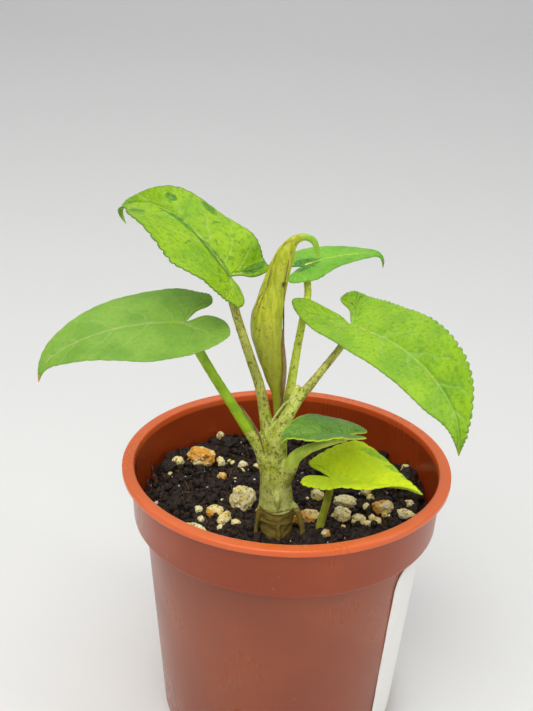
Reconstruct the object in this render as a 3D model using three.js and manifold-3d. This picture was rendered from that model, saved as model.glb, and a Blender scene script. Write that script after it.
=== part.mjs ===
// A small potted alocasia: a plastic nursery pot of soil and pumice, a corm with its leaf sheaths
// and roots, six open leaves and one that is still furled. Millimetres, +Z up, origin at the
// centre of the pot's flat bottom, and the front of the plant towards -Y.
import * as THREE from "three";
import { mergeVertices } from "three/addons/utils/BufferGeometryUtils.js";
import Module from "manifold-3d";

const wasm = await Module();
wasm.setup();

// Pot
const POT_HEIGHT = 62;
const RIM_RADIUS = 35;
const MOUTH_RADIUS = 32.5;
const LIP_THICKNESS = 1.4;
const LIP_ROUNDING = 0.4;
const COLLAR_HEIGHT = 12;
const COLLAR_TOP_RADIUS = 33.2;
const COLLAR_FOOT_RADIUS = 32.6;
const SHOULDER_RADIUS = 30.2;
const SHOULDER_DROP = 1.1;
const BASE_RADIUS = 26.2;
const BASE_ROUNDING = 0.9;
const POT_WALL = 0.9;
const POT_FLOOR = 1.2;
const POT_SIDES = 64;
const DRAIN_COUNT = 6;
const DRAIN_RADIUS = 2.6;
const DRAIN_CIRCLE_RADIUS = 16;

// Label on the right of the pot's body
const LABEL_THICKNESS = 0.3;
const LABEL_GAP = 0.1;
const LABEL_HALF_ANGLE = 39;
const LABEL_TOP = 47.4;
const LABEL_FOOT = 3;
const LABEL_CORNER = 4.5;

// Soil
const CLEARANCE = 0.3;
const SOIL_LEVEL = 50.3;
const SOIL_FOOT = POT_FLOOR + CLEARANCE;
const SOIL_RINGS = 7;
const SOIL_SIDES = 40;
const SOIL_RELIEF = 0.55;

// Leaves
const BLADE_THICKNESS = 0.6;
const RIB_SINK = 0.25;
const TUBE_SIDES = 8;
const PETIOLE_STEPS = 9;

const DEG = Math.PI / 180;
const group = new THREE.Group();

function addMesh(name, geometry, color, roughness) {
  const material = new THREE.MeshStandardMaterial({ color, roughness, metalness: 0 });
  const mesh = new THREE.Mesh(geometry, material);
  mesh.name = name;
  group.add(mesh);
}

// A closed geometry as a solid that can be joined and cut.
function solidOf(geometry) {
  const bare = new THREE.BufferGeometry();
  bare.setAttribute("position", geometry.getAttribute("position"));
  bare.setIndex(geometry.getIndex());
  const merged = mergeVertices(bare, 1e-4);
  const corners = [];
  const index = merged.index.array;
  for (let i = 0; i < index.length; i += 3) {
    const [a, b, c] = [index[i], index[i + 1], index[i + 2]];
    if (a !== b && b !== c && c !== a) corners.push(a, b, c);
  }
  return new wasm.Manifold(
    new wasm.Mesh({
      numProp: 3,
      vertProperties: merged.attributes.position.array,
      triVerts: new Uint32Array(corners),
    }),
  );
}

function geometryOf(solid) {
  const mesh = solid.getMesh();
  const geometry = new THREE.BufferGeometry();
  const position = new THREE.BufferAttribute(new Float32Array(mesh.vertProperties), 3);
  geometry.setAttribute("position", position);
  geometry.setIndex(new THREE.BufferAttribute(new Uint32Array(mesh.triVerts), 1));
  geometry.computeVertexNormals();
  return geometry;
}

function geometryFrom(points, triangles) {
  const geometry = new THREE.BufferGeometry();
  const flat = points.flatMap((p) => [p.x, p.y, p.z]);
  geometry.setAttribute("position", new THREE.Float32BufferAttribute(flat, 3));
  geometry.setIndex(triangles.flat());
  return geometry;
}

// The same draw of numbers from 0 to 1 for the same seed.
function seededRandom(seed) {
  let state = seed;
  return () => {
    state = (state + 0x6d2b79f5) | 0;
    let mixed = Math.imul(state ^ (state >>> 15), 1 | state);
    mixed = (mixed + Math.imul(mixed ^ (mixed >>> 7), 61 | mixed)) ^ mixed;
    return ((mixed ^ (mixed >>> 14)) >>> 0) / 4294967296;
  };
}

const vector = (p) => new THREE.Vector3(...p);
const routeThrough = (points) => new THREE.CatmullRomCurve3(points.map(vector), false, "centripetal");

// A value read off a list of evenly spaced ones, share running from 0 to 1.
function along(values, share) {
  const at = Math.min(Math.max(share, 0), 0.9999) * (values.length - 1);
  const low = Math.floor(at);
  return THREE.MathUtils.lerp(values[low], values[low + 1], at - low);
}

// A closed tube along part of a route, through half widths spaced evenly over the whole route.
// spread moves its skin outwards on every side and at both ends.
function tube(route, halfWidths, { from = 0, to = 1, steps = PETIOLE_STEPS, spread = 0 } = {}) {
  const points = [];
  let side = null;
  for (let i = 0; i <= steps; i++) {
    const share = from + ((to - from) * i) / steps;
    const ahead = route.getTangentAt(share);
    const past = i === 0 ? -spread : i === steps ? spread : 0;
    const centre = route.getPointAt(share).addScaledVector(ahead, past);
    if (side === null) side = new THREE.Vector3(0, -1, 0);
    side = side.clone().addScaledVector(ahead, -side.dot(ahead)).normalize();
    const across = new THREE.Vector3().crossVectors(ahead, side);
    const radius = along(halfWidths, share) + spread;
    for (let j = 0; j < TUBE_SIDES; j++) {
      const turn = ((j + 0.5) / TUBE_SIDES) * 2 * Math.PI;
      const point = centre.clone().addScaledVector(side, radius * Math.cos(turn));
      points.push(point.addScaledVector(across, radius * Math.sin(turn)));
    }
  }
  return solidOf(geometryFrom(points, skin(steps, TUBE_SIDES)));
}

// Triangles of a closed skin over rings of points, with flat ends.
function skin(steps, sides) {
  const triangles = [];
  for (let i = 0; i < steps; i++) {
    for (let j = 0; j < sides; j++) {
      const a = i * sides + j;
      const b = i * sides + ((j + 1) % sides);
      triangles.push([a, b, b + sides], [a, b + sides, a + sides]);
    }
  }
  const last = steps * sides;
  for (let j = 1; j < sides - 1; j++) {
    triangles.push([0, j + 1, j], [last, last + j, last + j + 1]);
  }
  return triangles;
}

// All solids as one, less any crumb that the joining leaves loose.
function joined(solids) {
  const whole = solids.reduce((sum, solid) => sum.add(solid));
  const bodies = whole.decompose();
  return bodies.reduce((most, body) => (body.volume() > most.volume() ? body : most));
}

function lathe(profile, sides) {
  const points = profile.map(([radius, height]) => new THREE.Vector2(radius, height));
  const geometry = new THREE.LatheGeometry(points, sides);
  geometry.rotateX(Math.PI / 2);
  return solidOf(geometry);
}

// Pot: one thin wall with a collar and a flat lip, and drain holes round a solid middle.
const collarFoot = POT_HEIGHT - COLLAR_HEIGHT;
const shoulderTop = collarFoot - SHOULDER_DROP;
const lipFoot = POT_HEIGHT - LIP_THICKNESS;
const collarInner = COLLAR_FOOT_RADIUS - POT_WALL;
const shoulderInner = SHOULDER_RADIUS - POT_WALL;
const baseInner = BASE_RADIUS - POT_WALL;

const potInside = [
  [MOUTH_RADIUS, POT_HEIGHT - LIP_ROUNDING],
  [MOUTH_RADIUS - 0.15, lipFoot],
  [collarInner, collarFoot + 0.3],
  [collarInner - 0.3, collarFoot - 0.2],
  [shoulderInner, shoulderTop - POT_WALL / 2],
  [baseInner, POT_FLOOR + BASE_ROUNDING],
  [baseInner - BASE_ROUNDING, POT_FLOOR],
  [0, POT_FLOOR],
];
const potOutside = [
  [0, 0],
  [BASE_RADIUS - BASE_ROUNDING, 0],
  [BASE_RADIUS - 0.3 * BASE_ROUNDING, 0.3 * BASE_ROUNDING],
  [BASE_RADIUS, BASE_ROUNDING],
  [SHOULDER_RADIUS, shoulderTop],
  [COLLAR_FOOT_RADIUS - 0.5, collarFoot - 0.3],
  [COLLAR_FOOT_RADIUS, collarFoot + 0.2],
  [COLLAR_TOP_RADIUS, lipFoot - 0.3],
  [COLLAR_TOP_RADIUS + 0.3, lipFoot],
  [RIM_RADIUS - LIP_ROUNDING, lipFoot],
  [RIM_RADIUS, lipFoot + LIP_ROUNDING],
  [RIM_RADIUS, POT_HEIGHT - LIP_ROUNDING],
  [RIM_RADIUS - LIP_ROUNDING, POT_HEIGHT],
  [MOUTH_RADIUS + LIP_ROUNDING, POT_HEIGHT],
];

let pot = lathe([...potOutside, ...potInside], POT_SIDES);
for (let i = 0; i < DRAIN_COUNT; i++) {
  const turn = (i / DRAIN_COUNT) * 2 * Math.PI;
  const hole = new THREE.CylinderGeometry(DRAIN_RADIUS, DRAIN_RADIUS, 3 * POT_FLOOR, 12);
  hole.rotateX(Math.PI / 2);
  const [x, y] = [DRAIN_CIRCLE_RADIUS * Math.cos(turn), DRAIN_CIRCLE_RADIUS * Math.sin(turn)];
  hole.translate(x, y, POT_FLOOR / 2);
  pot = pot.subtract(solidOf(hole));
}
addMesh("pot", geometryOf(pot), 0xc0603c, 0.4);

// Label: a patch that follows the flat sides of the pot's body.
function bodyRadius(angle, height) {
  const share = (height - BASE_ROUNDING) / (shoulderTop - BASE_ROUNDING);
  const corner = THREE.MathUtils.lerp(BASE_RADIUS, SHOULDER_RADIUS, share);
  const step = (2 * Math.PI) / POT_SIDES;
  const within = angle - step * Math.floor(angle / step) - step / 2;
  return (corner * Math.cos(step / 2)) / Math.cos(within);
}

function labelPatch() {
  const half = LABEL_HALF_ANGLE * DEG;
  const cornerAngle = LABEL_CORNER / SHOULDER_RADIUS;
  const step = (2 * Math.PI) / POT_SIDES;
  const columns = [];
  for (const share of [0, 0.07, 0.29, 0.62, 1]) {
    columns.push(-half + share * cornerAngle, half - share * cornerAngle);
  }
  for (let k = Math.ceil((cornerAngle - half) / step); k * step < half - cornerAngle; k++) {
    columns.push(k * step);
  }
  columns.sort((a, b) => a - b);
  const points = [];
  for (const angle of columns) {
    const inset = Math.min(1, (half - Math.abs(angle)) / cornerAngle);
    const rounding = LABEL_CORNER * (1 - Math.sqrt(1 - (1 - inset) ** 2));
    const ends = [LABEL_FOOT + rounding, LABEL_TOP - rounding];
    for (const [height, lift] of [
      [ends[0], 0],
      [ends[1], 0],
      [ends[1], LABEL_THICKNESS],
      [ends[0], LABEL_THICKNESS],
    ]) {
      const radius = bodyRadius(angle, height) + LABEL_GAP + lift;
      points.push(new THREE.Vector3(radius * Math.cos(angle), radius * Math.sin(angle), height));
    }
  }
  return solidOf(geometryFrom(points, skin(columns.length - 1, 4)));
}
addMesh("label", geometryOf(labelPatch()), 0xe9e6de, 0.7);

// Stem and petioles. Each route runs from inside the stem to the foot of a blade, with its half
// widths spaced evenly along it. The part up to `split` belongs to the stem as a sheath.
const corm = {
  route: routeThrough([
    [-1.6, -12.2, 46.5], [-1.5, -12.2, 50.5], [-1.5, -12.1, 54.2], [-1.6, -12.1, 57.7],
  ]),
  widths: [2.6, 3.3, 3.75, 3.65],
};
const trunk = {
  route: routeThrough([
    [-1.6, -12.1, 57.3], [-2, -12, 62], [-2.4, -12, 66], [-2.4, -12.1, 72], [-2.3, -12.2, 77.6],
  ]),
  widths: [3.5, 3.35, 3.0, 2.75, 2.45, 2.35, 1.9],
};
const roots = [
  {
    route: routeThrough([
      [-1.7, -14.3, 63.4], [-1.5, -15.5, 61], [-1.4, -15.5, 58.2],
    ]),
    widths: [0.4, 0.65, 0.3],
  },
  {
    route: routeThrough([
      [-1.1, -14.2, 58], [-1, -15.7, 56.2], [-0.9, -16, 52], [-0.9, -16.1, 48],
    ]),
    widths: [0.45, 0.5, 0.4],
  },
  {
    route: routeThrough([
      [0.6, -12.8, 59.3], [2, -13.1, 57.4], [3, -13.2, 54.5], [3.4, -13.2, 48],
    ]),
    widths: [0.7, 0.8, 0.6],
  },
  {
    route: routeThrough([
      [-3.5, -12.6, 61.5], [-4.9, -13.2, 58.8], [-5.3, -13.6, 54], [-5.4, -13.7, 48],
    ]),
    widths: [0.5, 0.7, 0.6],
  },
  {
    route: routeThrough([
      [-2.2, -10.5, 57.4], [-2.4, -8.6, 54.5], [-2.5, -8.1, 48],
    ]),
    widths: [0.8, 0.7, 0.6],
  },
];
// Dry tips of old sheaths beside the petioles
const sheathTips = [
  {
    route: routeThrough([
      [0, -13, 79.4], [1.1, -13.2, 83], [1.8, -13.1, 85.8],
    ]),
    widths: [0.9, 0.8, 0.3],
  },
  {
    route: routeThrough([
      [-4.2, -13.3, 70.5], [-4.5, -13.9, 73], [-4.2, -14, 75.4],
    ]),
    widths: [0.7, 0.7, 0.3],
  },
];

const petioles = {
  upperLeft: {
    route: routeThrough([
      [-3.2, -12.2, 70.3], [-4.4, -12.6, 77.3], [-5.8, -13.3, 84.8], [-7.5, -13.6, 90.1],
      [-9.9, -13.8, 97.4], [-12, -13.8, 104.4],
    ]),
    widths: [1.5, 1.35, 1.05, 0.95, 0.9, 0.85, 0.8],
    split: 0.34,
  },
  left: {
    route: routeThrough([
      [-3.2, -12.4, 63], [-4.8, -13, 70.5], [-8.2, -13.8, 76.4], [-12.9, -14.6, 84.4],
      [-17.3, -15.8, 92.6], [-19.6, -16.7, 97.4],
    ]),
    widths: [1.6, 1.75, 1.25, 1.0, 0.95, 0.95, 0.9],
    split: 0.4,
  },
  back: {
    route: routeThrough([
      [-1.8, -11.4, 72], [-0.2, -9.6, 80.4], [1, -5.2, 88.7], [1.9, -2, 94], [2.8, 1.8, 98.6],
      [2.4, 4, 102.2],
    ]),
    widths: [1.3, 1.1, 0.9, 0.8, 0.75, 0.75],
    split: 0.33,
  },
  right: {
    route: routeThrough([
      [-2.6, -13, 70.5], [-0.6, -13.5, 78], [2, -13, 82.9], [3.6, -12.5, 84.8],
      [6.6, -11, 88.6], [9.6, -9, 92.2], [11.3, -7.4, 94.8],
    ]),
    widths: [1.5, 1.5, 1.3, 0.95, 0.75, 0.7, 0.7],
    split: 0.56,
  },
  low: {
    route: routeThrough([
      [-1.2, -12.3, 61.5], [0.6, -13.6, 67], [1.7, -14.8, 70.5], [3.6, -15.8, 72.7],
      [6, -16.5, 74.3], [8.3, -16.9, 75.4], [10.6, -17, 76.3],
    ]),
    widths: [1.6, 1.6, 1.45, 1.25, 0.95, 0.75, 0.65],
    split: 0.44,
  },
  young: {
    route: routeThrough([
      [7.2, -8.4, 47.5], [7.5, -9, 50.5], [8.4, -10.8, 56.9], [9, -12.6, 61.9],
      [9.2, -13.4, 64.7],
    ]),
    widths: [0.9, 0.9, 0.8, 0.75, 0.7],
    split: 0,
  },
};

const sheaths = Object.values(petioles)
  .filter(({ split }) => split > 0)
  .map(({ route, widths, split }) => tube(route, widths, { to: split, steps: 8 }));
const stem = joined([
  tube(corm.route, corm.widths, { steps: 6 }),
  tube(trunk.route, trunk.widths, { steps: 10 }),
  ...[...roots, ...sheathTips].map(({ route, widths }) => tube(route, widths, { steps: 6 })),
  ...sheaths,
]);
addMesh("stem", geometryOf(stem), 0xa8ad60, 0.45);

// Leaves. A blade is worked out flat, x along its midrib from the foot and y out to one side, and
// then bent: pitch and heading are the midrib's angles at the foot in degrees, droop bends it down
// over its length and hook at its tip, and roll and twist turn the blade about the midrib. For each
// half, fold and arch bend it across, lobe droops its basal lobe, and wave lifts its margin.
const leaves = {
  leaf_upper_left: {
    foot: [-12.2, -13.8, 107.5],
    heading: 146, pitch: 46, roll: 5, twist: -35, droop: 82, hook: 56, hookAt: 0.85, swerve: -6,
    length: 36.5, shoulder: 0.17, acumen: 0.3, waves: 1.25, ribs: 33, cells: 3,
    left: {
      width: 10.6, lobeLength: 7, spread: 5, inner: -0.15, fold: 10, arch: 0, lobe: -15,
      belly: 0.87, wave: -1.8, phase: 0.11, teeth: 0.28,
    },
    right: {
      width: 8.6, lobeLength: 2.9, spread: 7, inner: 0.31, fold: 25, arch: 0, lobe: 2,
      belly: 0.74, wave: 2.5, phase: 0.32, teeth: 0.1,
    },
    petiole: petioles.upperLeft, color: 0x8fc02c,
  },
  leaf_left: {
    foot: [-20.2, -16.8, 98.7],
    heading: 182, pitch: 0.5, roll: -20, twist: 4, droop: 41, hook: 20, hookAt: 0.76, swerve: 9.7,
    length: 31.2, shoulder: 0.18, acumen: 0.43, waves: 1, ribs: 33, cells: 3,
    left: {
      width: 11, lobeLength: 9.1, spread: 5.7, inner: -0.4, fold: 5.5, arch: 1, lobe: -25,
      belly: 0.8, wave: -0.4, phase: 0, teeth: 0.08,
    },
    right: {
      width: 10.1, lobeLength: 5.1, spread: 6.6, inner: 0.46, fold: 10, arch: 17, lobe: -12,
      belly: 0.76, wave: -0.8, phase: 0, teeth: 0.08,
    },
    petiole: petioles.left, color: 0x84b055,
  },
  leaf_back: {
    foot: [1.5, 4.7, 103.8],
    heading: 26, pitch: 15, roll: 14, twist: -14, droop: 16, hook: 47, hookAt: 0.75, swerve: -20,
    length: 19.1, shoulder: 0.16, acumen: 0.4, waves: 0.8, ribs: 22, cells: 3,
    left: {
      width: 6.2, lobeLength: 4.8, spread: 3.2, inner: 0.3, fold: 4, arch: 20, lobe: 10,
      belly: 0.79, wave: 0.3, phase: 0, teeth: 0.08,
    },
    right: {
      width: 5.2, lobeLength: 4.6, spread: 3, inner: 0.2, fold: 3, arch: 20, lobe: 6,
      belly: 0.76, wave: 0.8, phase: 0, teeth: 0.08,
    },
    petiole: petioles.back, color: 0x78b238,
  },
  leaf_right: {
    foot: [11.5, -7.3, 95.9],
    heading: -45, pitch: 4.5, roll: 2, twist: 30, droop: 32, hook: 27, hookAt: 0.76, swerve: -18,
    length: 41.2, shoulder: 0.15, acumen: 0.55, waves: 0.87, ribs: 33, cells: 3,
    left: {
      width: 9.3, lobeLength: 8.4, spread: 7.8, inner: 0.47, fold: 25, arch: 10, lobe: -6,
      belly: 0.79, wave: -0.9, phase: 0.13, teeth: 0.3,
    },
    right: {
      width: 8.3, lobeLength: 11.7, spread: 5.4, inner: -0.4, fold: 7, arch: 10, lobe: -35,
      belly: 0.81, wave: 0, phase: 0, teeth: 0.08,
    },
    petiole: petioles.right, color: 0x96c832,
  },
  leaf_low: {
    foot: [11.5, -17.1, 77],
    heading: 184, pitch: 8, roll: 11, twist: -23, droop: 17, hook: 38, hookAt: 0.79, swerve: 6.6,
    length: 13.9, shoulder: 0.16, acumen: 0.46, waves: 1.25, ribs: 22, cells: 3,
    left: {
      width: 6, lobeLength: 3, spread: 3.4, inner: 0.15, fold: 25, arch: 32, lobe: -2,
      belly: 0.8, wave: 0.6, phase: 0, teeth: 0.15,
    },
    right: {
      width: 7.1, lobeLength: 4.2, spread: 3.2, inner: 0.31, fold: 25, arch: 31, lobe: 10,
      belly: 0.83, wave: -0.2, phase: 0, teeth: 0.1,
    },
    petiole: petioles.low, color: 0x4f8c3c,
  },
  leaf_young: {
    foot: [9.2, -13.6, 65.5],
    heading: -14, pitch: 2.6, roll: 10, twist: -23, droop: -10, hook: 12.6, hookAt: 0.68, swerve: -6.4,
    length: 18.8, shoulder: 0.18, acumen: 0.32, waves: 1.33, ribs: 22, cells: 3,
    left: {
      width: 8.8, lobeLength: 5.3, spread: 3.3, inner: 0.3, fold: 28, arch: 13, lobe: 0,
      belly: 0.84, wave: 0.9, phase: 0, teeth: 0.1,
    },
    right: {
      width: 5.8, lobeLength: 5.2, spread: 4.8, inner: -0.06, fold: 25, arch: 21, lobe: -28,
      belly: 0.79, wave: 0.7, phase: 0, teeth: 0.2,
    },
    petiole: petioles.young, color: 0xb4d21e,
  },
};

// The midrib as even steps from the foot, with its direction at each.
const MIDRIB_STEPS = 60;
function midribOf(leaf) {
  const ends = [];
  let place = vector(leaf.foot);
  for (let i = 0; i <= MIDRIB_STEPS; i++) {
    const share = i / MIDRIB_STEPS;
    const past = Math.max(0, (share - leaf.hookAt) / (1 - leaf.hookAt));
    const hooked = 2 * leaf.hook * past * past * (3 - 2 * past);
    const pitch = (leaf.pitch - leaf.droop * share ** 1.2 - hooked) * DEG;
    const heading = (leaf.heading + 2 * leaf.swerve * share) * DEG;
    const ahead = new THREE.Vector3(
      Math.cos(pitch) * Math.cos(heading),
      Math.cos(pitch) * Math.sin(heading),
      Math.sin(pitch),
    );
    if (i > 0) {
      const mean = ahead.clone().add(ends[i - 1].ahead);
      place = place.clone().addScaledVector(mean, leaf.length / MIDRIB_STEPS / 2);
    }
    const level = new THREE.Vector3(-Math.sin(heading), Math.cos(heading), 0);
    const upright = new THREE.Vector3().crossVectors(ahead, level);
    const roll = (leaf.roll + leaf.twist * share) * DEG;
    const out = level.clone().multiplyScalar(Math.cos(roll)).addScaledVector(upright, Math.sin(roll));
    ends.push({ place, ahead, out, up: new THREE.Vector3().crossVectors(ahead, out) });
  }
  return (x) => {
    const at = THREE.MathUtils.clamp(x / leaf.length, 0, 1) * MIDRIB_STEPS;
    const low = Math.min(Math.floor(at), MIDRIB_STEPS - 1);
    const blend = (key) => ends[low][key].clone().lerp(ends[low + 1][key], at - low);
    return { place: blend("place"), ahead: blend("ahead"), out: blend("out"), up: blend("up") };
  };
}

// The share of a leaf's length that lies behind its foot, in the notch between its lobes.
const NOTCH = 0.015;
const LOBE_REACH = 9;
// Corners of the margin, counted from the notch: the lobe's tip, and the tip of the leaf
const LOBE_TIP = 3;
const LAST_CORNER = 11;
const TIP_WIDTH = 0.45;

// A flat point of one half of the blade, bent into place. side is +1 on the left.
function bent(leaf, midrib, half, side, x, y) {
  const { place, ahead, out, up } = midrib(x);
  const bend = (Math.max(half.arch, 0.01) * DEG) / half.width;
  const fold = half.fold * DEG;
  const across = (Math.sin(fold) - Math.sin(fold - bend * y)) / bend;
  let lift = (Math.cos(fold - bend * y) - Math.cos(fold)) / bend;
  const forward = Math.max(x, 0) / leaf.length;
  const ripple = Math.sin(2 * Math.PI * (leaf.waves * forward + half.phase));
  lift += half.wave * ripple * Math.min(forward / 0.15, 1) * (y / half.width) ** 2;
  const back = Math.min(x, 0);
  const droop = (half.lobe * DEG * Math.max(0, -x - NOTCH * leaf.length)) / LOBE_REACH / 2;
  return place
    .addScaledVector(ahead, back * Math.cos(droop))
    .addScaledVector(out, side * across)
    .addScaledVector(up, lift + back * Math.sin(droop));
}

// The margin of one half, from the notch round the lobe to the tip, as evenly numbered samples of a
// curve, and the root of the rib that runs to each. The ribs round the basal lobe leave from its
// own spine, out and back again, and the others from the midrib.
function marginOf(leaf, half, ribs) {
  const { length, shoulder, acumen } = leaf;
  const { width, spread, lobeLength, inner, belly } = half;
  const notchSide = (3.5 * Math.min(inner, 0) * spread * NOTCH * length) / lobeLength;
  const corners = [
    [-NOTCH * length, notchSide, 0],
    [-0.45 * lobeLength, inner * spread, 0],
    [-0.85 * lobeLength, (0.35 + 0.65 * inner) * spread, 0],
    [-lobeLength, 0.85 * spread, 0],
    [-0.85 * lobeLength, 1.18 * spread, 0],
    [-0.4 * lobeLength, 0.53 * spread + 0.52 * width, 0],
    [0.3 * shoulder * length, 0.97 * width, 0],
    [(shoulder + 0.06) * length, width, 0.1 * length],
    [0.48 * length, belly * width, 0.33 * length],
    [0.74 * length, acumen * width, 0.63 * length],
    [0.9 * length, 0.33 * acumen * width, 0.84 * length],
    [length, TIP_WIDTH / 2, length],
  ];
  const open = Math.max(inner, 0);
  const spineBend = [-0.29 * lobeLength, (0.38 + 0.49 * open) * spread];
  const spineEnd = [-0.55 * lobeLength, (0.55 + 0.34 * open) * spread];
  const samples = [];
  for (let i = 0; i <= ribs; i++) {
    const at = (i / ribs) * LAST_CORNER;
    const outward = Math.max(0, 1 - Math.abs(at - LOBE_TIP) / LOBE_TIP);
    const low = Math.min(Math.floor(at), LAST_CORNER - 1);
    const reflect = (end, next) => end.map((value, k) => 2 * value - next[k]);
    const before = low > 0 ? corners[low - 1] : reflect(corners[0], corners[1]);
    const last = corners[LAST_CORNER];
    const after = low < LAST_CORNER - 1 ? corners[low + 2] : reflect(last, corners[low]);
    const t = at - low;
    const smooth = (k) => {
      const [a, b, c, d] = [before[k], corners[low][k], corners[low + 1][k], after[k]];
      const square = 2 * a - 5 * b + 4 * c - d;
      const cube = 3 * b - 3 * c + d - a;
      return b + (t * (c - a) + t * t * square + t ** 3 * cube) / 2;
    };
    const forward = THREE.MathUtils.lerp(corners[low][2], corners[low + 1][2], t);
    const onSpine = (k) => 2 * outward * (1 - outward) * spineBend[k] + outward ** 2 * spineEnd[k];
    const root = [forward + onSpine(0), onSpine(1)];
    samples.push({ x: smooth(0), y: smooth(1), root });
  }
  return samples;
}

// The margin cut into rounded teeth from the lobe's tip on: every second rib reaches further out.
function toothed(samples, depth) {
  const first = Math.floor((LOBE_TIP / LAST_CORNER) * samples.length) + 1;
  return samples.map((sample, i) => {
    if (i < first || i > samples.length - 3) return sample;
    const before = samples[i - 1];
    const after = samples[i + 1];
    const run = Math.hypot(after.x - before.x, after.y - before.y);
    const reach = i % 2 === 0 ? depth : -depth / 2;
    const outX = -(after.y - before.y) / run;
    const outY = (after.x - before.x) / run;
    return { x: sample.x + reach * outX, y: sample.y + reach * outY, root: sample.root };
  });
}

// A blade: one sheet of triangles for each half, thickened to both sides.
function bladeOf(leaf) {
  const midrib = midribOf(leaf);
  const places = [];
  const seen = new Map();
  const pointAt = (half, side, x, y) => {
    const place = bent(leaf, midrib, half, side, x, y);
    const key = [place.x, place.y, place.z].map((value) => Math.round(value * 1e4)).join();
    if (!seen.has(key)) seen.set(key, places.push(place) - 1);
    return seen.get(key);
  };
  const halves = [[leaf.left, 1], [leaf.right, -1]].map(([half, side]) => {
    const triangles = [];
    const addTriangle = (a, b, c) => {
      if (a !== b && b !== c && c !== a) triangles.push([a, b, c]);
    };
    const margin = toothed(marginOf(leaf, half, leaf.ribs), half.teeth);
    const rows = margin.map(({ x, y, root }) => {
      const row = [];
      for (let j = 0; j <= leaf.cells; j++) {
        const share = j / leaf.cells;
        const [flatX, flatY] = [x, y].map((end, k) => THREE.MathUtils.lerp(root[k], end, share));
        row.push(pointAt(half, side, flatX, flatY));
      }
      return row;
    });
    for (let i = 0; i < leaf.ribs; i++) {
      for (let j = 0; j < leaf.cells; j++) {
        const quad = [rows[i][j], rows[i][j + 1], rows[i + 1][j + 1], rows[i + 1][j]];
        if (side > 0) quad.reverse();
        addTriangle(quad[0], quad[1], quad[2]);
        addTriangle(quad[0], quad[2], quad[3]);
      }
    }
    return triangles;
  });
  const sheet = geometryFrom(places, halves.flat());
  sheet.computeVertexNormals();
  const normals = sheet.getAttribute("normal");
  return { midrib, solids: halves.map((triangles) => thickened(places, normals, triangles)) };
}

// A sheet of triangles as a solid, with its skin moved out to both sides along the normals.
function thickened(places, normals, triangles) {
  const lifted = (sign) =>
    places.map((place, i) => {
      const normal = new THREE.Vector3().fromBufferAttribute(normals, i);
      return place.clone().addScaledVector(normal, (sign * BLADE_THICKNESS) / 2);
    });
  const edges = new Set(triangles.flatMap(([a, b, c]) => [`${a},${b}`, `${b},${c}`, `${c},${a}`]));
  const count = places.length;
  const closed = [...triangles, ...triangles.map(([a, b, c]) => [a + count, c + count, b + count])];
  for (const edge of edges) {
    const [a, b] = edge.split(",").map(Number);
    if (edges.has(`${b},${a}`)) continue;
    closed.push([a, a + count, b + count], [a, b + count, b]);
  }
  return solidOf(geometryFrom([...lifted(1), ...lifted(-1)], closed));
}

// The petiole beyond its sheath, its neck under the blade's foot, and the raised midrib.
const RIB_END = 0.66;
const RIB_STEPS = 7;
function petioleOf(leaf, midrib) {
  const { route, widths, split } = leaf.petiole;
  const length = route.getLength();
  const start = split > 0 ? split + (1.15 * CLEARANCE) / length : 0;
  const shaft = tube(route, widths, { from: start });
  const under = (share, drop) => {
    const { place, up } = midrib(share * leaf.length);
    return place.addScaledVector(up, -drop);
  };
  const width = widths[widths.length - 1];
  const joint = under(0.02, width);
  const neckStart = route.getPointAt(0.97);
  const neckEnd = joint.clone().sub(neckStart).setLength(0.5 * width).add(joint);
  const neck = routeThrough([neckStart, joint, neckEnd]);
  const rib = routeThrough([
    joint.clone().addScaledVector(midrib(0).ahead, -0.5 * width),
    under(0.12, width - RIB_SINK),
    under(0.28, 2 * RIB_SINK),
    under(0.47, 1.4 * RIB_SINK),
    under(RIB_END, RIB_SINK),
  ]);
  return [
    shaft,
    tube(neck, [width, width, 0.8 * width], { steps: 2 }),
    tube(rib, [width, 0.8 * width, 0.5, 0.4, 0.3], { steps: RIB_STEPS }),
  ];
}

for (const [name, leaf] of Object.entries(leaves)) {
  const { midrib, solids } = bladeOf(leaf);
  addMesh(name, geometryOf(joined([...solids, ...petioleOf(leaf, midrib)])), leaf.color, 0.45);
}

// Furled leaf: a rolled blade whose free margin makes one step along its right front, narrowing
// to a short stalk below and a curled tail above. Each station is a centre and a half width.
const furled = [
  { at: [-2.3, -11.8, 78.4], half: 0.65 },
  { at: [-2.3, -11.8, 80.4], half: 0.75 },
  { at: [-2.4, -11.8, 83], half: 1.05 },
  { at: [-2.9, -11.8, 86], half: 1.7 },
  { at: [-3.5, -11.8, 89.5], half: 2.3 },
  { at: [-4.2, -11.8, 92.8], half: 2.7 },
  { at: [-4.7, -11.8, 96], half: 3.05 },
  { at: [-4.7, -11.8, 98.8], half: 3.05 },
  { at: [-4.2, -11.8, 101.6], half: 2.65 },
  { at: [-3.4, -11.8, 105.4], half: 2.3 },
  { at: [-2.4, -12.2, 109.5], half: 1.95 },
  { at: [-1.4, -12.3, 112.3], half: 1.5 },
  { at: [-0.3, -12.4, 114.1], half: 0.85 },
  { at: [1.4, -12.6, 114.9], half: 0.65 },
  { at: [2.9, -12.8, 114.5], half: 0.6 },
  { at: [3.8, -13, 113], half: 0.5 },
  { at: [4, -13.2, 111.2], half: 0.25 },
];
const FURL_SIDES = 14;
const FURL_DEPTH = 0.8;
const FURL_STEP = 0.3;
const FURL_START = -35;

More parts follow.
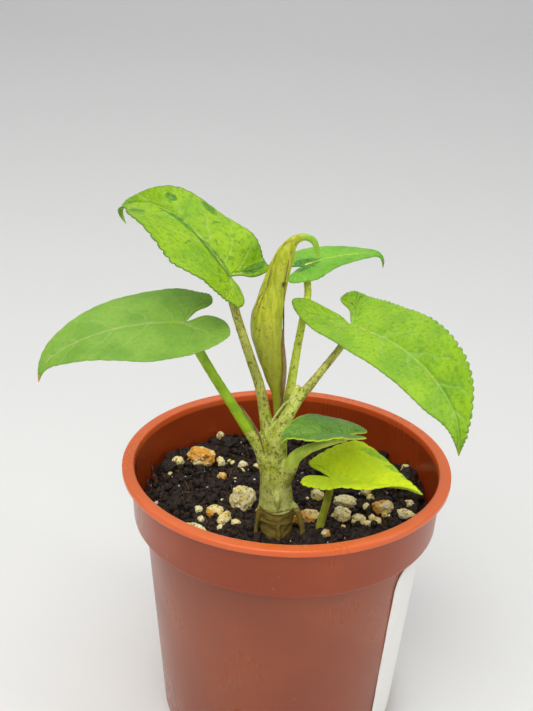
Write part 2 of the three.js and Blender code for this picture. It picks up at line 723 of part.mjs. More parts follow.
function furledLeaf() {
  const route = routeThrough(furled.map(({ at }) => at));
  const points = [];
  const pieces = 2;
  const steps = (furled.length - 1) * pieces;
  for (let i = 0; i <= steps; i++) {
    const share = i / steps;
    const centre = route.getPoint(share);
    const ahead = route.getTangent(share);
    const front = new THREE.Vector3(0, -1, 0).addScaledVector(ahead, ahead.y).normalize();
    const right = new THREE.Vector3().crossVectors(ahead, front);
    const half = along(furled.map((station) => station.half), share);
    const step = half * FURL_STEP;
    for (let j = 0; j <= FURL_SIDES; j++) {
      const round = j / FURL_SIDES;
      const turn = (FURL_START + 360 * round) * DEG;
      const radius = half + step * (round - 0.35);
      const point = centre.clone().addScaledVector(right, radius * Math.cos(turn));
      points.push(point.addScaledVector(front, -radius * FURL_DEPTH * Math.sin(turn)));
    }
  }
  return solidOf(geometryFrom(points, skin(steps, FURL_SIDES + 1)));
}
addMesh("leaf_furled", geometryOf(furledLeaf()), 0xa2a83c, 0.4);

// Soil: a plug that fills the pot, with a rough top and the stones and clods that lie in it.
const holes = [
  tube(corm.route, corm.widths, { spread: CLEARANCE, steps: 6 }),
  ...roots.map(({ route, widths }) => tube(route, widths, { spread: CLEARANCE, steps: 6 })),
  tube(petioles.young.route, petioles.young.widths, { spread: CLEARANCE }),
];

function soilTop(x, y) {
  const swell = Math.sin(0.31 * x + 0.8) * Math.cos(0.27 * y - 0.4) + 0.6 * Math.sin(0.55 * x - 0.48 * y);
  return SOIL_LEVEL + SOIL_RELIEF * swell;
}

function soilPlug() {
  const random = seededRandom(7);
  const plugRadius = collarInner - CLEARANCE;
  const points = [new THREE.Vector3(0, 0, soilTop(0, 0))];
  const triangles = [];
  for (let ring = 1; ring <= SOIL_RINGS; ring++) {
    for (let k = 0; k < SOIL_SIDES; k++) {
      const turn = ((k + 0.5 * (ring % 2)) / SOIL_SIDES) * 2 * Math.PI;
      const radius = (plugRadius * ring) / SOIL_RINGS;
      const [x, y] = [radius * Math.cos(turn), radius * Math.sin(turn)];
      points.push(new THREE.Vector3(x, y, soilTop(x, y) + 1.5 * (random() - 0.5)));
    }
  }
  for (let k = 0; k < SOIL_SIDES; k++) {
    const turn = ((k + 0.5 * (SOIL_RINGS % 2)) / SOIL_SIDES) * 2 * Math.PI;
    const [x, y] = [plugRadius * Math.cos(turn), plugRadius * Math.sin(turn)];
    points.push(new THREE.Vector3(x, y, SOIL_FOOT));
  }
  points.push(new THREE.Vector3(0, 0, SOIL_FOOT));
  const foot = points.length - 1;
  for (let k = 0; k < SOIL_SIDES; k++) {
    const next = (k + 1) % SOIL_SIDES;
    triangles.push([0, 1 + k, 1 + next]);
    for (let ring = 1; ring <= SOIL_RINGS; ring++) {
      const a = 1 + (ring - 1) * SOIL_SIDES;
      const b = a + SOIL_SIDES;
      if (ring % 2 === 1 || ring === SOIL_RINGS) {
        triangles.push([a + k, b + k, b + next], [a + k, b + next, a + next]);
      } else {
        triangles.push([a + k, b + next, a + next], [a + k, b + k, b + next]);
      }
    }
    const rim = 1 + SOIL_RINGS * SOIL_SIDES;
    triangles.push([rim + k, foot, rim + next]);
  }
  return solidOf(geometryFrom(points, triangles));
}

// The room for soil: the inside of the pot less the clearance.
function soilRoom() {
  const wall = potInside.map(([radius, height]) => [
    Math.max(0, radius - CLEARANCE),
    height + CLEARANCE,
  ]);
  return lathe([[0, POT_HEIGHT], ...wall].reverse(), POT_SIDES);
}

// A rough stone: an icosahedron squeezed to its size and dented at random, with a share of its
// height sunk in the soil.
function stone(random, { at: [x, y], size: [long, deep, tall], turn }, sunk) {
  const geometry = mergeVertices(bareIcosahedron(long > FINE_STONE ? 1 : 0), 1e-4);
  const position = geometry.getAttribute("position");
  for (let i = 0; i < position.count; i++) {
    const dent = 1.06 - 0.2 * random();
    const point = new THREE.Vector3().fromBufferAttribute(position, i).multiplyScalar(dent);
    point.multiply(new THREE.Vector3(long / 2, deep / 2, tall / 2));
    position.setXYZ(i, point.x, point.y, point.z);
  }
  geometry.rotateZ(turn * DEG);
  geometry.translate(x, y, soilTop(x, y) + tall * (0.5 - sunk));
  return solidOf(geometry);
}

function bareIcosahedron(detail) {
  const geometry = new THREE.IcosahedronGeometry(1, detail);
  geometry.deleteAttribute("normal");
  geometry.deleteAttribute("uv");
  return geometry;
}

// Pumice: place, size and turn of each stone. Stones longer than FINE_STONE get more faces.
const FINE_STONE = 4.5;
const PUMICE_SUNK = 0.18;
const CLOD_SUNK = 0.45;
const SLIVER_WIDTHS = [0.8, 0.65, 0.25];
const pumice = [
  { at: [-20, 15.6], size: [7, 5.4, 4.4], turn: -10 },
  { at: [-24.8, 11], size: [2.9, 2.4, 2.4], turn: 0 },
  { at: [-15.4, 16], size: [2.2, 2.4, 2.6], turn: 0 },
  { at: [-10.1, 15.2], size: [2.3, 2.2, 2.2], turn: 0 },
  { at: [-14.6, 10.8], size: [2.3, 2, 2], turn: 30 },
  { at: [-16.2, 25.4], size: [1.8, 2, 2.6], turn: 0 },
  { at: [-9.2, -1], size: [5.2, 5.6, 5.8], turn: 40 },
  { at: [-14.8, -5.3], size: [3.9, 3, 2.6], turn: 10 },
  { at: [-12.6, -8], size: [2.4, 4, 2.8], turn: -30 },
  { at: [-10, -9.7], size: [2, 1.9, 1.9], turn: 0 },
  { at: [-18.6, -12.4], size: [5.4, 3, 2.2], turn: -20 },
  { at: [-1.6, -21], size: [4.4, 2.4, 2.2], turn: 0 },
  { at: [4.6, -6.2], size: [7, 3.2, 3.4], turn: 24 },
  { at: [7.1, 3.1], size: [3.1, 2.8, 2.6], turn: 0 },
  { at: [13.5, 1.6], size: [5.4, 3.4, 2.9], turn: -15 },
  { at: [12.3, -5.2], size: [4, 4, 3.8], turn: 0 },
  { at: [16, -5.6], size: [3.3, 3, 2.6], turn: 20 },
  { at: [18.9, -4.6], size: [1.8, 1.8, 1.8], turn: 0 },
  { at: [21.3, -1.8], size: [4.8, 3.6, 3.4], turn: 10 },
  { at: [25.8, -3.6], size: [4.2, 2.6, 2], turn: -10 },
  { at: [18, 5], size: [2.4, 2.4, 2.4], turn: 0 },
  { at: [27.2, 12], size: [2.2, 2, 2.6], turn: 0 },
];
// Slivers of bark that lean on the pot's wall
const slivers = [
  [[-27.5, 4, 48], [-29.2, 5, 52], [-30.2, 6.4, 56]],
  [[-28.6, 1, 48], [-30, 1.6, 52], [-30.6, 2.4, 54.4]],
  [[27.6, 13, 48], [28.4, 14.6, 51.6], [28.2, 15.8, 55]],
];
// Clods of potting mix
const clods = [
  { at: [6, -14.4], size: [6, 4.4, 3.6], turn: 15 },
  { at: [-5.4, -18.6], size: [4, 3.2, 2.6], turn: -20 },
  { at: [-20.5, 20.5], size: [6, 4, 3.4], turn: 40 },
  { at: [-14, 23.5], size: [5, 4, 3], turn: 10 },
  { at: [24, 13.5], size: [6, 5, 4.2], turn: 60 },
  { at: [19, 18], size: [5, 4, 3.2], turn: 20 },
  { at: [-24, -3], size: [5, 4, 3], turn: 80 },
];

function soil() {
  const random = seededRandom(23);
  const lying = [
    ...pumice.map((grain) => stone(random, grain, PUMICE_SUNK)),
    ...clods.map((clod) => stone(random, clod, CLOD_SUNK)),
    ...slivers.map((points) => tube(routeThrough(points), SLIVER_WIDTHS, { steps: 4 })),
  ];
  let whole = joined([soilPlug(), ...lying]).intersect(soilRoom());
  for (const hole of holes) whole = whole.subtract(hole);
  return joined([whole]);
}
addMesh("soil", geometryOf(soil()), 0x2a221e, 0.95);

export default group;
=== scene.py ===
"""Looks of a small potted alocasia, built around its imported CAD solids.

Sizes are in millimetres until a mesh is made. +Z is up, the front of the plant faces -Y, and the
origin is the centre of the pot's flat bottom.
"""

import functools
import logging
import math
from collections.abc import Callable, Sequence
from dataclasses import dataclass, field
from enum import Enum

import bmesh
import bpy
import numpy as np
from mathutils import Matrix, Vector, noise


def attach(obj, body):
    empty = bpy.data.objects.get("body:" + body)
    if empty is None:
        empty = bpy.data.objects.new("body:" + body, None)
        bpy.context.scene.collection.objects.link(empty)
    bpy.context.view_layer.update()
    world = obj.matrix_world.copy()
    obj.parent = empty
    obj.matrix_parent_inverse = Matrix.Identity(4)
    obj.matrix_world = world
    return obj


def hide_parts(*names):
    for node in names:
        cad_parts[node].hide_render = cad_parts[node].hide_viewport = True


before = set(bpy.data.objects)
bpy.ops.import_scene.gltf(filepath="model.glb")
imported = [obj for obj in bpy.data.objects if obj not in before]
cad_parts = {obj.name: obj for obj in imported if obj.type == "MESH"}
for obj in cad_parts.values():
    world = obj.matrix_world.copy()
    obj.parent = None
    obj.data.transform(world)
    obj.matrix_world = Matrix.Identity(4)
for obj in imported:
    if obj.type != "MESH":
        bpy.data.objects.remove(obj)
LOG = logging.getLogger("alocasia")
MM = 0.001
DEG = math.pi / 180
ROUND = 2 * math.pi
LAST_CORNER = 11  # of a blade's margin, at the tip
RIB_SCALE = 20  # millimetres of the ribs map in one unit
FLAT_SCALE = 50  # millimetres of the flat map in one unit
NUDGE = 0.004  # share of a route to either side, to read its direction
Array = np.ndarray
Colour = tuple[float, float, float]
Point = tuple[float, float, float]
Faces = list[tuple[int, ...]]
Material = bpy.types.Material
Piece = bpy.types.Object
Socket = bpy.types.NodeSocket
Tree = bpy.types.NodeTree


class Body(Enum):
    """The body that every piece of the plant rides on."""

    ROOT = "root"


class Slot(Enum):
    """Material slots of the record."""

    POT = "terracotta_plastic"
    LABEL = "label_paper"
    SOIL = "potting_mix"
    STEM = "stem_flesh"
    LIME = "leaf_lime"
    GREEN = "leaf_green"
    DARK = "leaf_dark"
    YELLOW = "leaf_yellow"
    OLIVE = "leaf_olive"


def paint(code: str) -> Colour:
    """A screen colour as linear values, from a code such as FF8000."""
    shares = (value / 255 for value in bytes.fromhex(code))
    return tuple(s / 12.92 if s < 0.04045 else ((s + 0.055) / 1.055) ** 2.4 for s in shares)


def paints(codes: str) -> list[Colour]:
    """Colours from their codes, with spaces between."""
    return [paint(code) for code in codes.split()]


# --------------------------------------------------------------------------- meshes


@dataclass
class Skin:
    """A surface as points in millimetres, faces and flat maps of the faces' corners."""

    points: Array
    faces: Faces
    maps: dict[str, Array] = field(default_factory=dict)


def joined(skins: Sequence[Skin]) -> Skin:
    """Several surfaces as one.

    Args:
        skins: Surfaces without maps.

    Returns:
        One surface with all their points and faces.
    """
    points, faces, start = [], [], 0
    for skin in skins:
        faces += [tuple(i + start for i in face) for face in skin.faces]
        points.append(skin.points)
        start += len(skin.points)
    return Skin(np.vstack(points), faces)


def lattice(rings: int, sides: int) -> Faces:
    """Faces of rings of points, one after the other, with a flat face at each end.

    Args:
        rings: How many rings.
        sides: How many points a ring has.

    Returns:
        The faces, by point number.
    """
    last, pairs = (rings - 1) * sides, [(j, (j + 1) % sides) for j in range(sides)]
    faces = [(a + j, a + k, a + sides + k, a + sides + j) for a in range(0, last, sides) for j, k in pairs]
    return faces + [tuple(range(sides - 1, -1, -1)), tuple(range(last, last + sides))]


def turned(outline: list[tuple[float, float]], sides: int) -> tuple[Array, Faces]:
    """An outline turned round the upright axis.

    Args:
        outline: Radius and height of each ring, between two middle points.
        sides: How many points a ring has.

    Returns:
        The points, and the faces by point number.
    """
    turn = np.arange(sides) / sides * ROUND
    rings = [np.stack([r * np.cos(turn), r * np.sin(turn), z + 0 * turn], 1) for r, z in outline[1:-1]]
    points = np.vstack([(0, 0, outline[0][1]), *rings, (0, 0, outline[-1][1])])
    faces, last = [], 1 + (len(rings) - 1) * sides
    for j in range(sides):
        k = (j + 1) % sides
        faces.append((0, 1 + k, 1 + j))
        faces += [(a + j, a + k, a + sides + k, a + sides + j) for a in range(1, last, sides)]
        faces.append((last + j, last + k, last + sides))
    return points, faces


def ball(detail: int) -> tuple[Array, Faces]:
    """A ball of radius 1.

    Args:
        detail: How finely it is divided.

    Returns:
        The points, and the faces by point number.
    """
    mesh = bmesh.new()
    bmesh.ops.create_icosphere(mesh, subdivisions=detail, radius=1)
    made = np.array([tuple(v.co) for v in mesh.verts]), [tuple(v.index for v in f.verts) for f in mesh.faces]
    mesh.free()
    return made


def unit(rows: Array) -> Array:
    """Rows scaled to length 1."""
    return rows / np.maximum(np.linalg.norm(rows, axis=-1, keepdims=True), 1e-9)


def bumps(points: Array, scale: float | Point, shift: Point = (0, 0, 0)) -> Array:
    """Smooth noise of about -1 to 1 at points, once they are scaled and shifted."""
    return np.array([noise.noise(Vector(p)) for p in points * np.asarray(scale) + np.asarray(shift)])


def smoothed(values: Array, width: int) -> Array:
    """Values averaged over their neighbours, an odd number of them."""
    return np.convolve(np.pad(values, width // 2, mode="edge"), np.ones(width) / width, mode="valid")


def mesh_piece(name: str, skin: Skin, material: Material) -> Piece:
    """Makes an object of a surface.

    Args:
        name: The piece's name.
        skin: Its surface.
        material: Its finish.

    Returns:
        The new object, linked to the scene.
    """
    mesh = bpy.data.meshes.new(name)
    mesh.from_pydata((skin.points * MM).tolist(), [], skin.faces)
    for label, places in skin.maps.items():
        mesh.uv_layers.new(name=label).data.foreach_set("uv", np.asarray(places, np.float32).ravel())
    mesh.polygons.foreach_set("use_smooth", [True] * len(mesh.polygons))
    mesh.materials.append(material)
    mesh.update()
    piece = bpy.data.objects.new(name, mesh)
    bpy.context.collection.objects.link(piece)
    return piece


def reshape(piece: Piece, kind: str, **settings: object) -> None:
    """Gives a piece a modifier and applies it.

    Args:
        piece: The piece.
        kind: The modifier's type.
        **settings: Its settings.
    """
    modifier = piece.modifiers.new(kind.lower(), kind)
    for key, value in settings.items():
        setattr(modifier, key, value)
    bpy.context.view_layer.update()
    made = bpy.data.meshes.new_from_object(piece.evaluated_get(bpy.context.evaluated_depsgraph_get()))
    old = piece.data
    piece.modifiers.clear()
    piece.data = made
    made.name = old.name
    bpy.data.meshes.remove(old)


def dress(piece: Piece, slot: Slot, *nodes: str) -> None:
    """Puts a piece on the frame.

    Args:
        piece: The piece.
        slot: The record's slot that its finish belongs to. Not used.
        *nodes: CAD nodes that it stands for.
    """
    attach(piece, Body.ROOT.value)
    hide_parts(*nodes)
    LOG.info("%s: %d faces", piece.name, len(piece.data.polygons))


def through(corners: Array, at: Array) -> Array:
    """Points of a smooth curve through corners, read by the corner's number.

    Args:
        corners: The corners, one a row.
        at: Numbers from 0 to the last corner.

    Returns:
        The points, one a row.
    """
    padded = np.vstack([2 * corners[0] - corners[1], corners, 2 * corners[-1] - corners[-2]])
    low = np.clip(np.floor(at).astype(int), 0, len(corners) - 2)
    t = (at - low)[:, None]
    a, b, c, d = (padded[low + k] for k in range(4))
    return b + (t * (c - a) + t**2 * (2 * a - 5 * b + 4 * c - d) + t**3 * (3 * b - 3 * c + d - a)) / 2


class Route:
    """A smooth curve through points, read by its length."""

    def __init__(self, points: Sequence[Point] | Array, samples: int = 240) -> None:
        """Lays the curve.

        Args:
            points: The points that it runs through.
            samples: How finely its length is measured.
        """
        given = np.asarray(points, float)
        knots = np.vstack([2 * given[0] - given[1], given, 2 * given[-1] - given[-2]])
        t = np.linspace(0, 1, samples, endpoint=False)[:, None]
        places = []
        for x0, x1, x2, x3 in zip(knots, knots[1:], knots[2:], knots[3:]):
            gaps = (max(float(np.sum((b - a) ** 2)) ** 0.25, 1e-4) for a, b in ((x0, x1), (x1, x2), (x2, x3)))
            d0, d1, d2 = gaps
            t1 = ((x1 - x0) / d0 - (x2 - x0) / (d0 + d1) + (x2 - x1) / d1) * d1
            t2 = ((x2 - x1) / d1 - (x3 - x1) / (d1 + d2) + (x3 - x2) / d2) * d1
            cubic = 2 * x1 - 2 * x2 + t1 + t2
            square = -3 * x1 + 3 * x2 - 2 * t1 - t2
            places.append(cubic * t**3 + square * t**2 + t1 * t + x1)
        self.places = np.vstack([*places, given[-1:]])
        steps = np.linalg.norm(np.diff(self.places, axis=0), axis=1)
        self.reach = np.concatenate([[0.0], np.cumsum(steps)])
        self.length = float(self.reach[-1])

    def at(self, share: Array) -> Array:
        """Points on the curve.

        Args:
            share: Shares of the length, 0 to 1, or a little past the ends.

        Returns:
            The points, one a row.
        """
        where = share * self.length
        inside = np.stack([np.interp(where, self.reach, self.places[:, k]) for k in range(3)], 1)
        past = where - np.clip(where, 0, self.length)
        ends = np.where(past[:, None] > 0, self.places[-1] - self.places[-4], self.places[3] - self.places[0])
        return inside + past[:, None] * unit(ends)

    def ahead(self, share: Array) -> Array:
        """Unit directions at shares of the length."""
        return unit(self.at(share + NUDGE) - self.at(share - NUDGE))


@dataclass(frozen=True)
class Tube:
    """A round tube along a route, through half widths spaced evenly over the whole route."""

    points: tuple[Point, ...]
    widths: tuple[float, ...]
    start: float = 0.0
    end: float = 1.0
    blunt: float = 0.02
    fineness: float = 0.9

    def skin(self, steps: int, sides: int, rough: float = 0.0, seed: int = 1) -> Skin:
        """Builds the tube's surface with rounded ends.

        Args:
            steps: Rings along it.
            sides: Points round each ring.
            rough: How far its surface wanders from round, in millimetres.
            seed: Which wandering it gets.

        Returns:
            A closed surface.
        """
        route = Route(self.points)
        share = np.linspace(self.start, self.end, steps + 1)
        centre, ahead = route.at(share), route.ahead(share)
        width = np.interp(share * (len(self.widths) - 1), range(len(self.widths)), self.widths)
        from_end = np.minimum(share - self.start, self.end - share) * route.length
        width = width * np.sqrt(np.clip(from_end / np.maximum(width, 1e-3), self.blunt, 1))
        turn = np.arange(sides)[:, None] / sides * ROUND
        side, rings = np.array([0.0, -1.0, 0.0]), []
        for middle, forward, size in zip(centre, ahead, width):
            side = unit(side - np.dot(side, forward) * forward)
            rings.append(middle + size * (np.cos(turn) * side + np.sin(turn) * np.cross(forward, side)))
        points = np.vstack(rings)
        if rough:
            push = rough * bumps(points, self.fineness, (seed, 0, 0))
            points = points + push[:, None] * unit(points - np.repeat(centre, sides, axis=0))
        return Skin(points, lattice(steps + 1, sides))


# --------------------------------------------------------------------------- materials


class Field:
    """A value that changes over a surface: a node's output, with arithmetic that adds nodes."""

    def __init__(self, graph: "Graph", socket: Socket) -> None:
        """Holds an output."""
        self.graph, self.socket = graph, socket

    def __add__(self, other: "Feed") -> "Field":
        """This plus another."""
        return self.graph.math("ADD", self, other)

    def __sub__(self, other: "Feed") -> "Field":
        """This less another."""
        return self.graph.math("SUBTRACT", self, other)

    def __rsub__(self, other: "Feed") -> "Field":
        """Another less this."""
        return self.graph.math("SUBTRACT", other, self)

    def __mul__(self, other: "Feed") -> "Field":
        """This times another."""
        return self.graph.math("MULTIPLY", self, other)

    def __truediv__(self, other: "Feed") -> "Field":
        """This divided by another."""
        return self.graph.math("DIVIDE", self, other)

    def __abs__(self) -> "Field":
        """This without its sign."""
        return self.graph.math("ABSOLUTE", self)

    def bell(self) -> "Field":
        """A bell curve: 1 where this is 0, falling to either side."""
        return self.graph.math("POWER", 2.718, self * self * -1.0)

    def part(self, axis: int) -> "Field":
        """One part of a vector: 0 is X, 1 is Y and 2 is Z."""
        return self.graph.add("SeparateXYZ", {0: self}, axis)

    def length(self) -> "Field":
        """The length of a vector."""
        return self.graph.add("VectorMath", {0: self}, "Value", operation="LENGTH")

    def twin(self, name: str) -> "Field":
        """Another output of the same node."""
        return Field(self.graph, self.socket.node.outputs[name])

    def spread(self, low: "Feed", high: "Feed", to_low: float = 0.0, to_high: float = 1.0) -> "Field":
        """This moved from one range to another, smoothly and held at its ends.

        Args:
            low: Lower end of its range.
            high: Upper end of its range.
            to_low: What the lower end becomes.
            to_high: What the upper end becomes.

        Returns:
            The moved value.
        """
        feeds = dict(enumerate((self, low, high, to_low, to_high)))
        return self.graph.add("MapRange", feeds, interpolation_type="SMOOTHSTEP")


Feed = Field | float | tuple[float, ...]


class Graph:
    """Adds nodes to a tree and wires them."""

    def __init__(self, tree: Tree) -> None:
        """Starts on a tree."""
        self.tree = tree

    def feed(self, socket: Socket, value: Feed) -> None:
        """Links an input to a field, or gives it a value.

        Args:
            socket: The input.
            value: What it gets.
        """
        if isinstance(value, Field):
            self.tree.links.new(value.socket, socket)
        else:
            socket.default_value = (*value, 1) if socket.type == "RGBA" else value

    def add(self, kind: str, feeds: dict[str | int, Feed], out: str | int = 0, **settings: object) -> Field:
        """Adds a node.

        Args:
            kind: Its type, without the ShaderNode prefix.
            feeds: What its inputs get, by name or number.
            out: Which output to read.
            **settings: Its own settings.

        Returns:
            The output.
        """
        made = self.tree.nodes.new("ShaderNode" + kind)
        for key, value in settings.items():
            setattr(made, key, value)
        for key, value in feeds.items():
            self.feed(made.inputs[key], value)
        return Field(self, made.outputs[out])

    def math(self, operation: str, *values: Feed) -> Field:
        """Adds a Math node, or a Vector Math node where a value is a vector.

        Args:
            operation: What it does.
            *values: The values that it works on.

        Returns:
            The result.
        """
        kinds = {value.socket.type if isinstance(value, Field) else type(value) for value in values}
        kind = "VectorMath" if kinds & {tuple, "VECTOR"} else "Math"
        return self.add(kind, dict(enumerate(values)), operation=operation)

    def mix(self, share: Feed, low: Feed, high: Feed) -> Field:
        """Two colours mixed by a share."""
        return self.add("Mix", {0: share, 6: low, 7: high}, 2, data_type="RGBA")

    def noise(
        self, place: Field, scale: Feed, detail: float = 2, rough: float = 0.5, warp: Feed = 0
    ) -> Field:
        """Noise over places.

        Args:
            place: The places.
            scale: How fine it is, per unit of place.
            detail: How many finer layers it has.
            rough: How strong those are.
            warp: How bent it is.

        Returns:
            Values from 0 to 1.
        """
        feeds = {"Vector": place, "Scale": scale, "Detail": detail, "Roughness": rough, "Distortion": warp}
        return self.add("TexNoise", feeds, "Fac")

    def map(self, name: str) -> Field:
        """A flat map of the mesh."""
        return self.add("UVMap", {}, uv_map=name)


def shared_group(
    name: str, outputs: tuple[str, ...], **inputs: float | None
) -> tuple[Graph, dict[str, Field], bpy.types.Node]:
    """Starts a node group that works on numbers and a place.

    Args:
        name: The group's name.
        outputs: Names of the numbers that it puts out.
        **inputs: First value of each input, and None for the place.

    Returns:
        The group's graph, its inputs by name and its output node.
    """
    graph = Graph(bpy.data.node_groups.new(name, "ShaderNodeTree"))
    new_socket = graph.tree.interface.new_socket
    for key, value in inputs.items():
        if value is None:
            new_socket(key, in_out="INPUT", socket_type="NodeSocketVector")
        else:
            new_socket(key, in_out="INPUT", socket_type="NodeSocketFloat").default_value = value
    for key in outputs:
        new_socket(key, in_out="OUTPUT", socket_type="NodeSocketFloat")
    start, end = graph.tree.nodes.new("NodeGroupInput"), graph.tree.nodes.new("NodeGroupOutput")
    return graph, {key: Field(graph, start.outputs[key]) for key in inputs}, end


@functools.cache
def blotches() -> Tree:
    """Builds the node group of irregular soft-edged spots.

    Returns:
        The group, which puts out a mask.
    """
    graph, given, end = shared_group(
        "irregular_blotches", ("Mask",), Place=None, Scale=0.3, Low=0.55, High=0.65, Warp=0.6
    )
    wide = graph.noise(given["Place"], given["Scale"], 4, 0.62, given["Warp"])
    graph.feed(end.inputs["Mask"], wide.spread(given["Low"], given["High"]))
    return graph.tree


@functools.cache
def relief() -> Tree:
    """Builds the node group of fine uneven relief.

    Returns:
        The group, which puts out a height.
    """
    graph, given, end = shared_group("fine_relief", ("Height",), Place=None, Coarse=1.0, Fine=6.0, Share=0.4)
    coarse, fine = (graph.noise(given["Place"], given[key], 3) for key in ("Coarse", "Fine"))
    graph.feed(end.inputs["Height"], coarse + fine * given["Share"])
    return graph.tree


@functools.cache
def veins() -> Tree:
    """Builds the node group of a blade's midrib and side veins, from its rib map.

    Returns:
        The group, which puts out a mask of each and the rib's number.
    """
    outputs = ("Midrib", "Side", "Rib")
    graph, given, end = shared_group("blade_veins", outputs, Spacing=0.8, Width=0.05, Midrib=0.3)
    ribs = graph.map("ribs")
    rib, reach = ribs.part(0) * LAST_CORNER, ribs.part(1) * RIB_SCALE
    wander = graph.noise(graph.map("flat") * (FLAT_SCALE, FLAT_SCALE, FLAT_SCALE), 0.35, 1) * 0.35
    swept = rib - graph.math("POWER", reach, 1.5) * 0.022 + wander
    turn = graph.math("FRACT", swept / given["Spacing"])
    line = (abs(turn - 0.5) * given["Spacing"] / given["Width"]).bell()
    graph.feed(end.inputs["Rib"], rib)
    graph.feed(end.inputs["Midrib"], (reach / given["Midrib"]).bell())
    graph.feed(end.inputs["Side"], line * reach.spread(0.5, 9.0, 1.0, 0.25))
    return graph.tree


class Look(Graph):
    """A material under way: its nodes, its Principled shader and its colour so far."""

    def __init__(self, name: str, base: Colour, **shader: float | Colour) -> None:
        """Starts the material.

        Args:
            name: Its name.
            base: Its colour to start from.
            **shader: Values for the shader's own sockets, with _ for a space.
        """
        self.material = bpy.data.materials.new(name)
        self.material.use_nodes = True
        super().__init__(self.material.node_tree)
        self.shader = self.tree.nodes["Principled BSDF"]
        self.colour: Feed = base
        for key, value in shader.items():
            self.feed(self.shader.inputs[key.replace("_", " ")], value)

    def place(self) -> Field:
        """Places on the object, in millimetres."""
        return self.add("TexCoord", {}, "Object") * (1000, 1000, 1000)

    def over(self, share: Field, colour: Feed) -> None:
        """Lays a share of another colour over the colour so far."""
        self.colour = self.mix(share, self.colour, colour)

    def shared(self, group: Callable[[], Tree], *feeds: Feed) -> Field:
        """The first output of a shared node group, its inputs fed in order."""
        return self.add("Group", dict(enumerate(feeds)), node_tree=group())

    def done(self, roughness: Field, height: Field, depth: float) -> Material:
        """Wires the shader.

        Args:
            roughness: Its roughness.
            height: The height of its bump, 0 to 1.
            depth: How deep that is, in millimetres.

        Returns:
            The material.
        """
        bump = self.add("Bump", {"Strength": 1, "Distance": depth * MM, "Height": height})
        for key, value in (("Base Color", self.colour), ("Roughness", roughness), ("Normal", bump)):
            self.feed(self.shader.inputs[key], value)
        return self.material


@dataclass(frozen=True)
class LeafFinish:
    """The look of one leaf blade, upper side and underside."""

    name: str
    base: Colour
    shade: Colour
    blotch: Colour
    vein: Colour
    tip: Colour
    edge: Colour
    blotchy: float = 0.6
    speckle: float = 0.3
    veiny: float = 0.5
    edging: float = 0.3
    roughness: float = 0.42
    glow: float = 0.2
    seed: float = 0.0
    under: Colour = paint("A0C854")
    patches: tuple[tuple[float, float, float, float], ...] = ()

    @functools.cache
    def material(self) -> Material:
        """Builds the finish.

        Returns:
            The material.
        """
        look = Look(
            self.name, self.base, Specular_IOR_Level=0.22, Subsurface_Weight=self.glow,
            Subsurface_Radius=(0.9, 1.0, 0.2), Subsurface_Scale=0.0011,
        )
        plain = look.map("flat") * (FLAT_SCALE, FLAT_SCALE, FLAT_SCALE)
        flat = plain + (self.seed * 13.1, self.seed * 7.7, 0)
        mottling = look.noise(flat, 1.1, 3, 0.7).spread(0.3, 0.62, 0.45, 1.0)
        midrib = look.shared(veins)
        side = midrib.twin("Side")
        look.over(look.noise(flat, 0.12, 3, 0.55).spread(0.35, 0.7), self.shade)
        mint = tuple(min(1.0, c * 0.62 + more) for c, more in zip(self.base, (0.14, 0.12, 0.05)))
        look.over(look.noise(flat, 1.5, 4, 0.65).spread(0.48, 0.74) * self.speckle, mint)
        dark = look.noise(flat + (31, 17, 0), 1.15, 4, 0.68).spread(0.46, 0.74)
        look.over(dark * self.speckle, tuple(c * 0.74 for c in self.shade))
        large = look.shared(blotches, flat, 0.2, 0.555, 0.62, 0.9) * 0.4
        small = look.shared(blotches, flat, 0.55, 0.585, 0.66, 0.8)
        look.over(look.math("MAXIMUM", large, small) * self.blotchy, self.blotch)
        look.over(side * (0.55 * self.veiny), self.vein)
        look.over(midrib * self.veiny, self.vein)
        for x, y, long, wide in self.patches:
            away = ((plain - (x, y, 0)) / (long, wide, 1)).length()
            uneven = look.noise(flat, 0.5, 4, 0.6) * 1.1 - 0.55
            look.over((away + uneven).spread(0.8, 1.0, 0.95, 0.0) * mottling, self.blotch)
        edge = look.map("edge")
        look.over(edge.part(0).spread(0.02, 0.45, 1.0, 0.0) * self.edging, self.edge)
        look.over(midrib.twin("Rib").spread(10.55, 10.9) * 0.9, self.tip)
        look.over((1.0 - edge.part(1)) * 0.45, self.under)
        rough = look.noise(flat, 0.6, 2).spread(0.3, 0.7, self.roughness - 0.06, self.roughness + 0.08)
        return look.done(rough, look.shared(relief, flat, 0.9, 5.0, 0.35) - side * 0.5, 0.24)


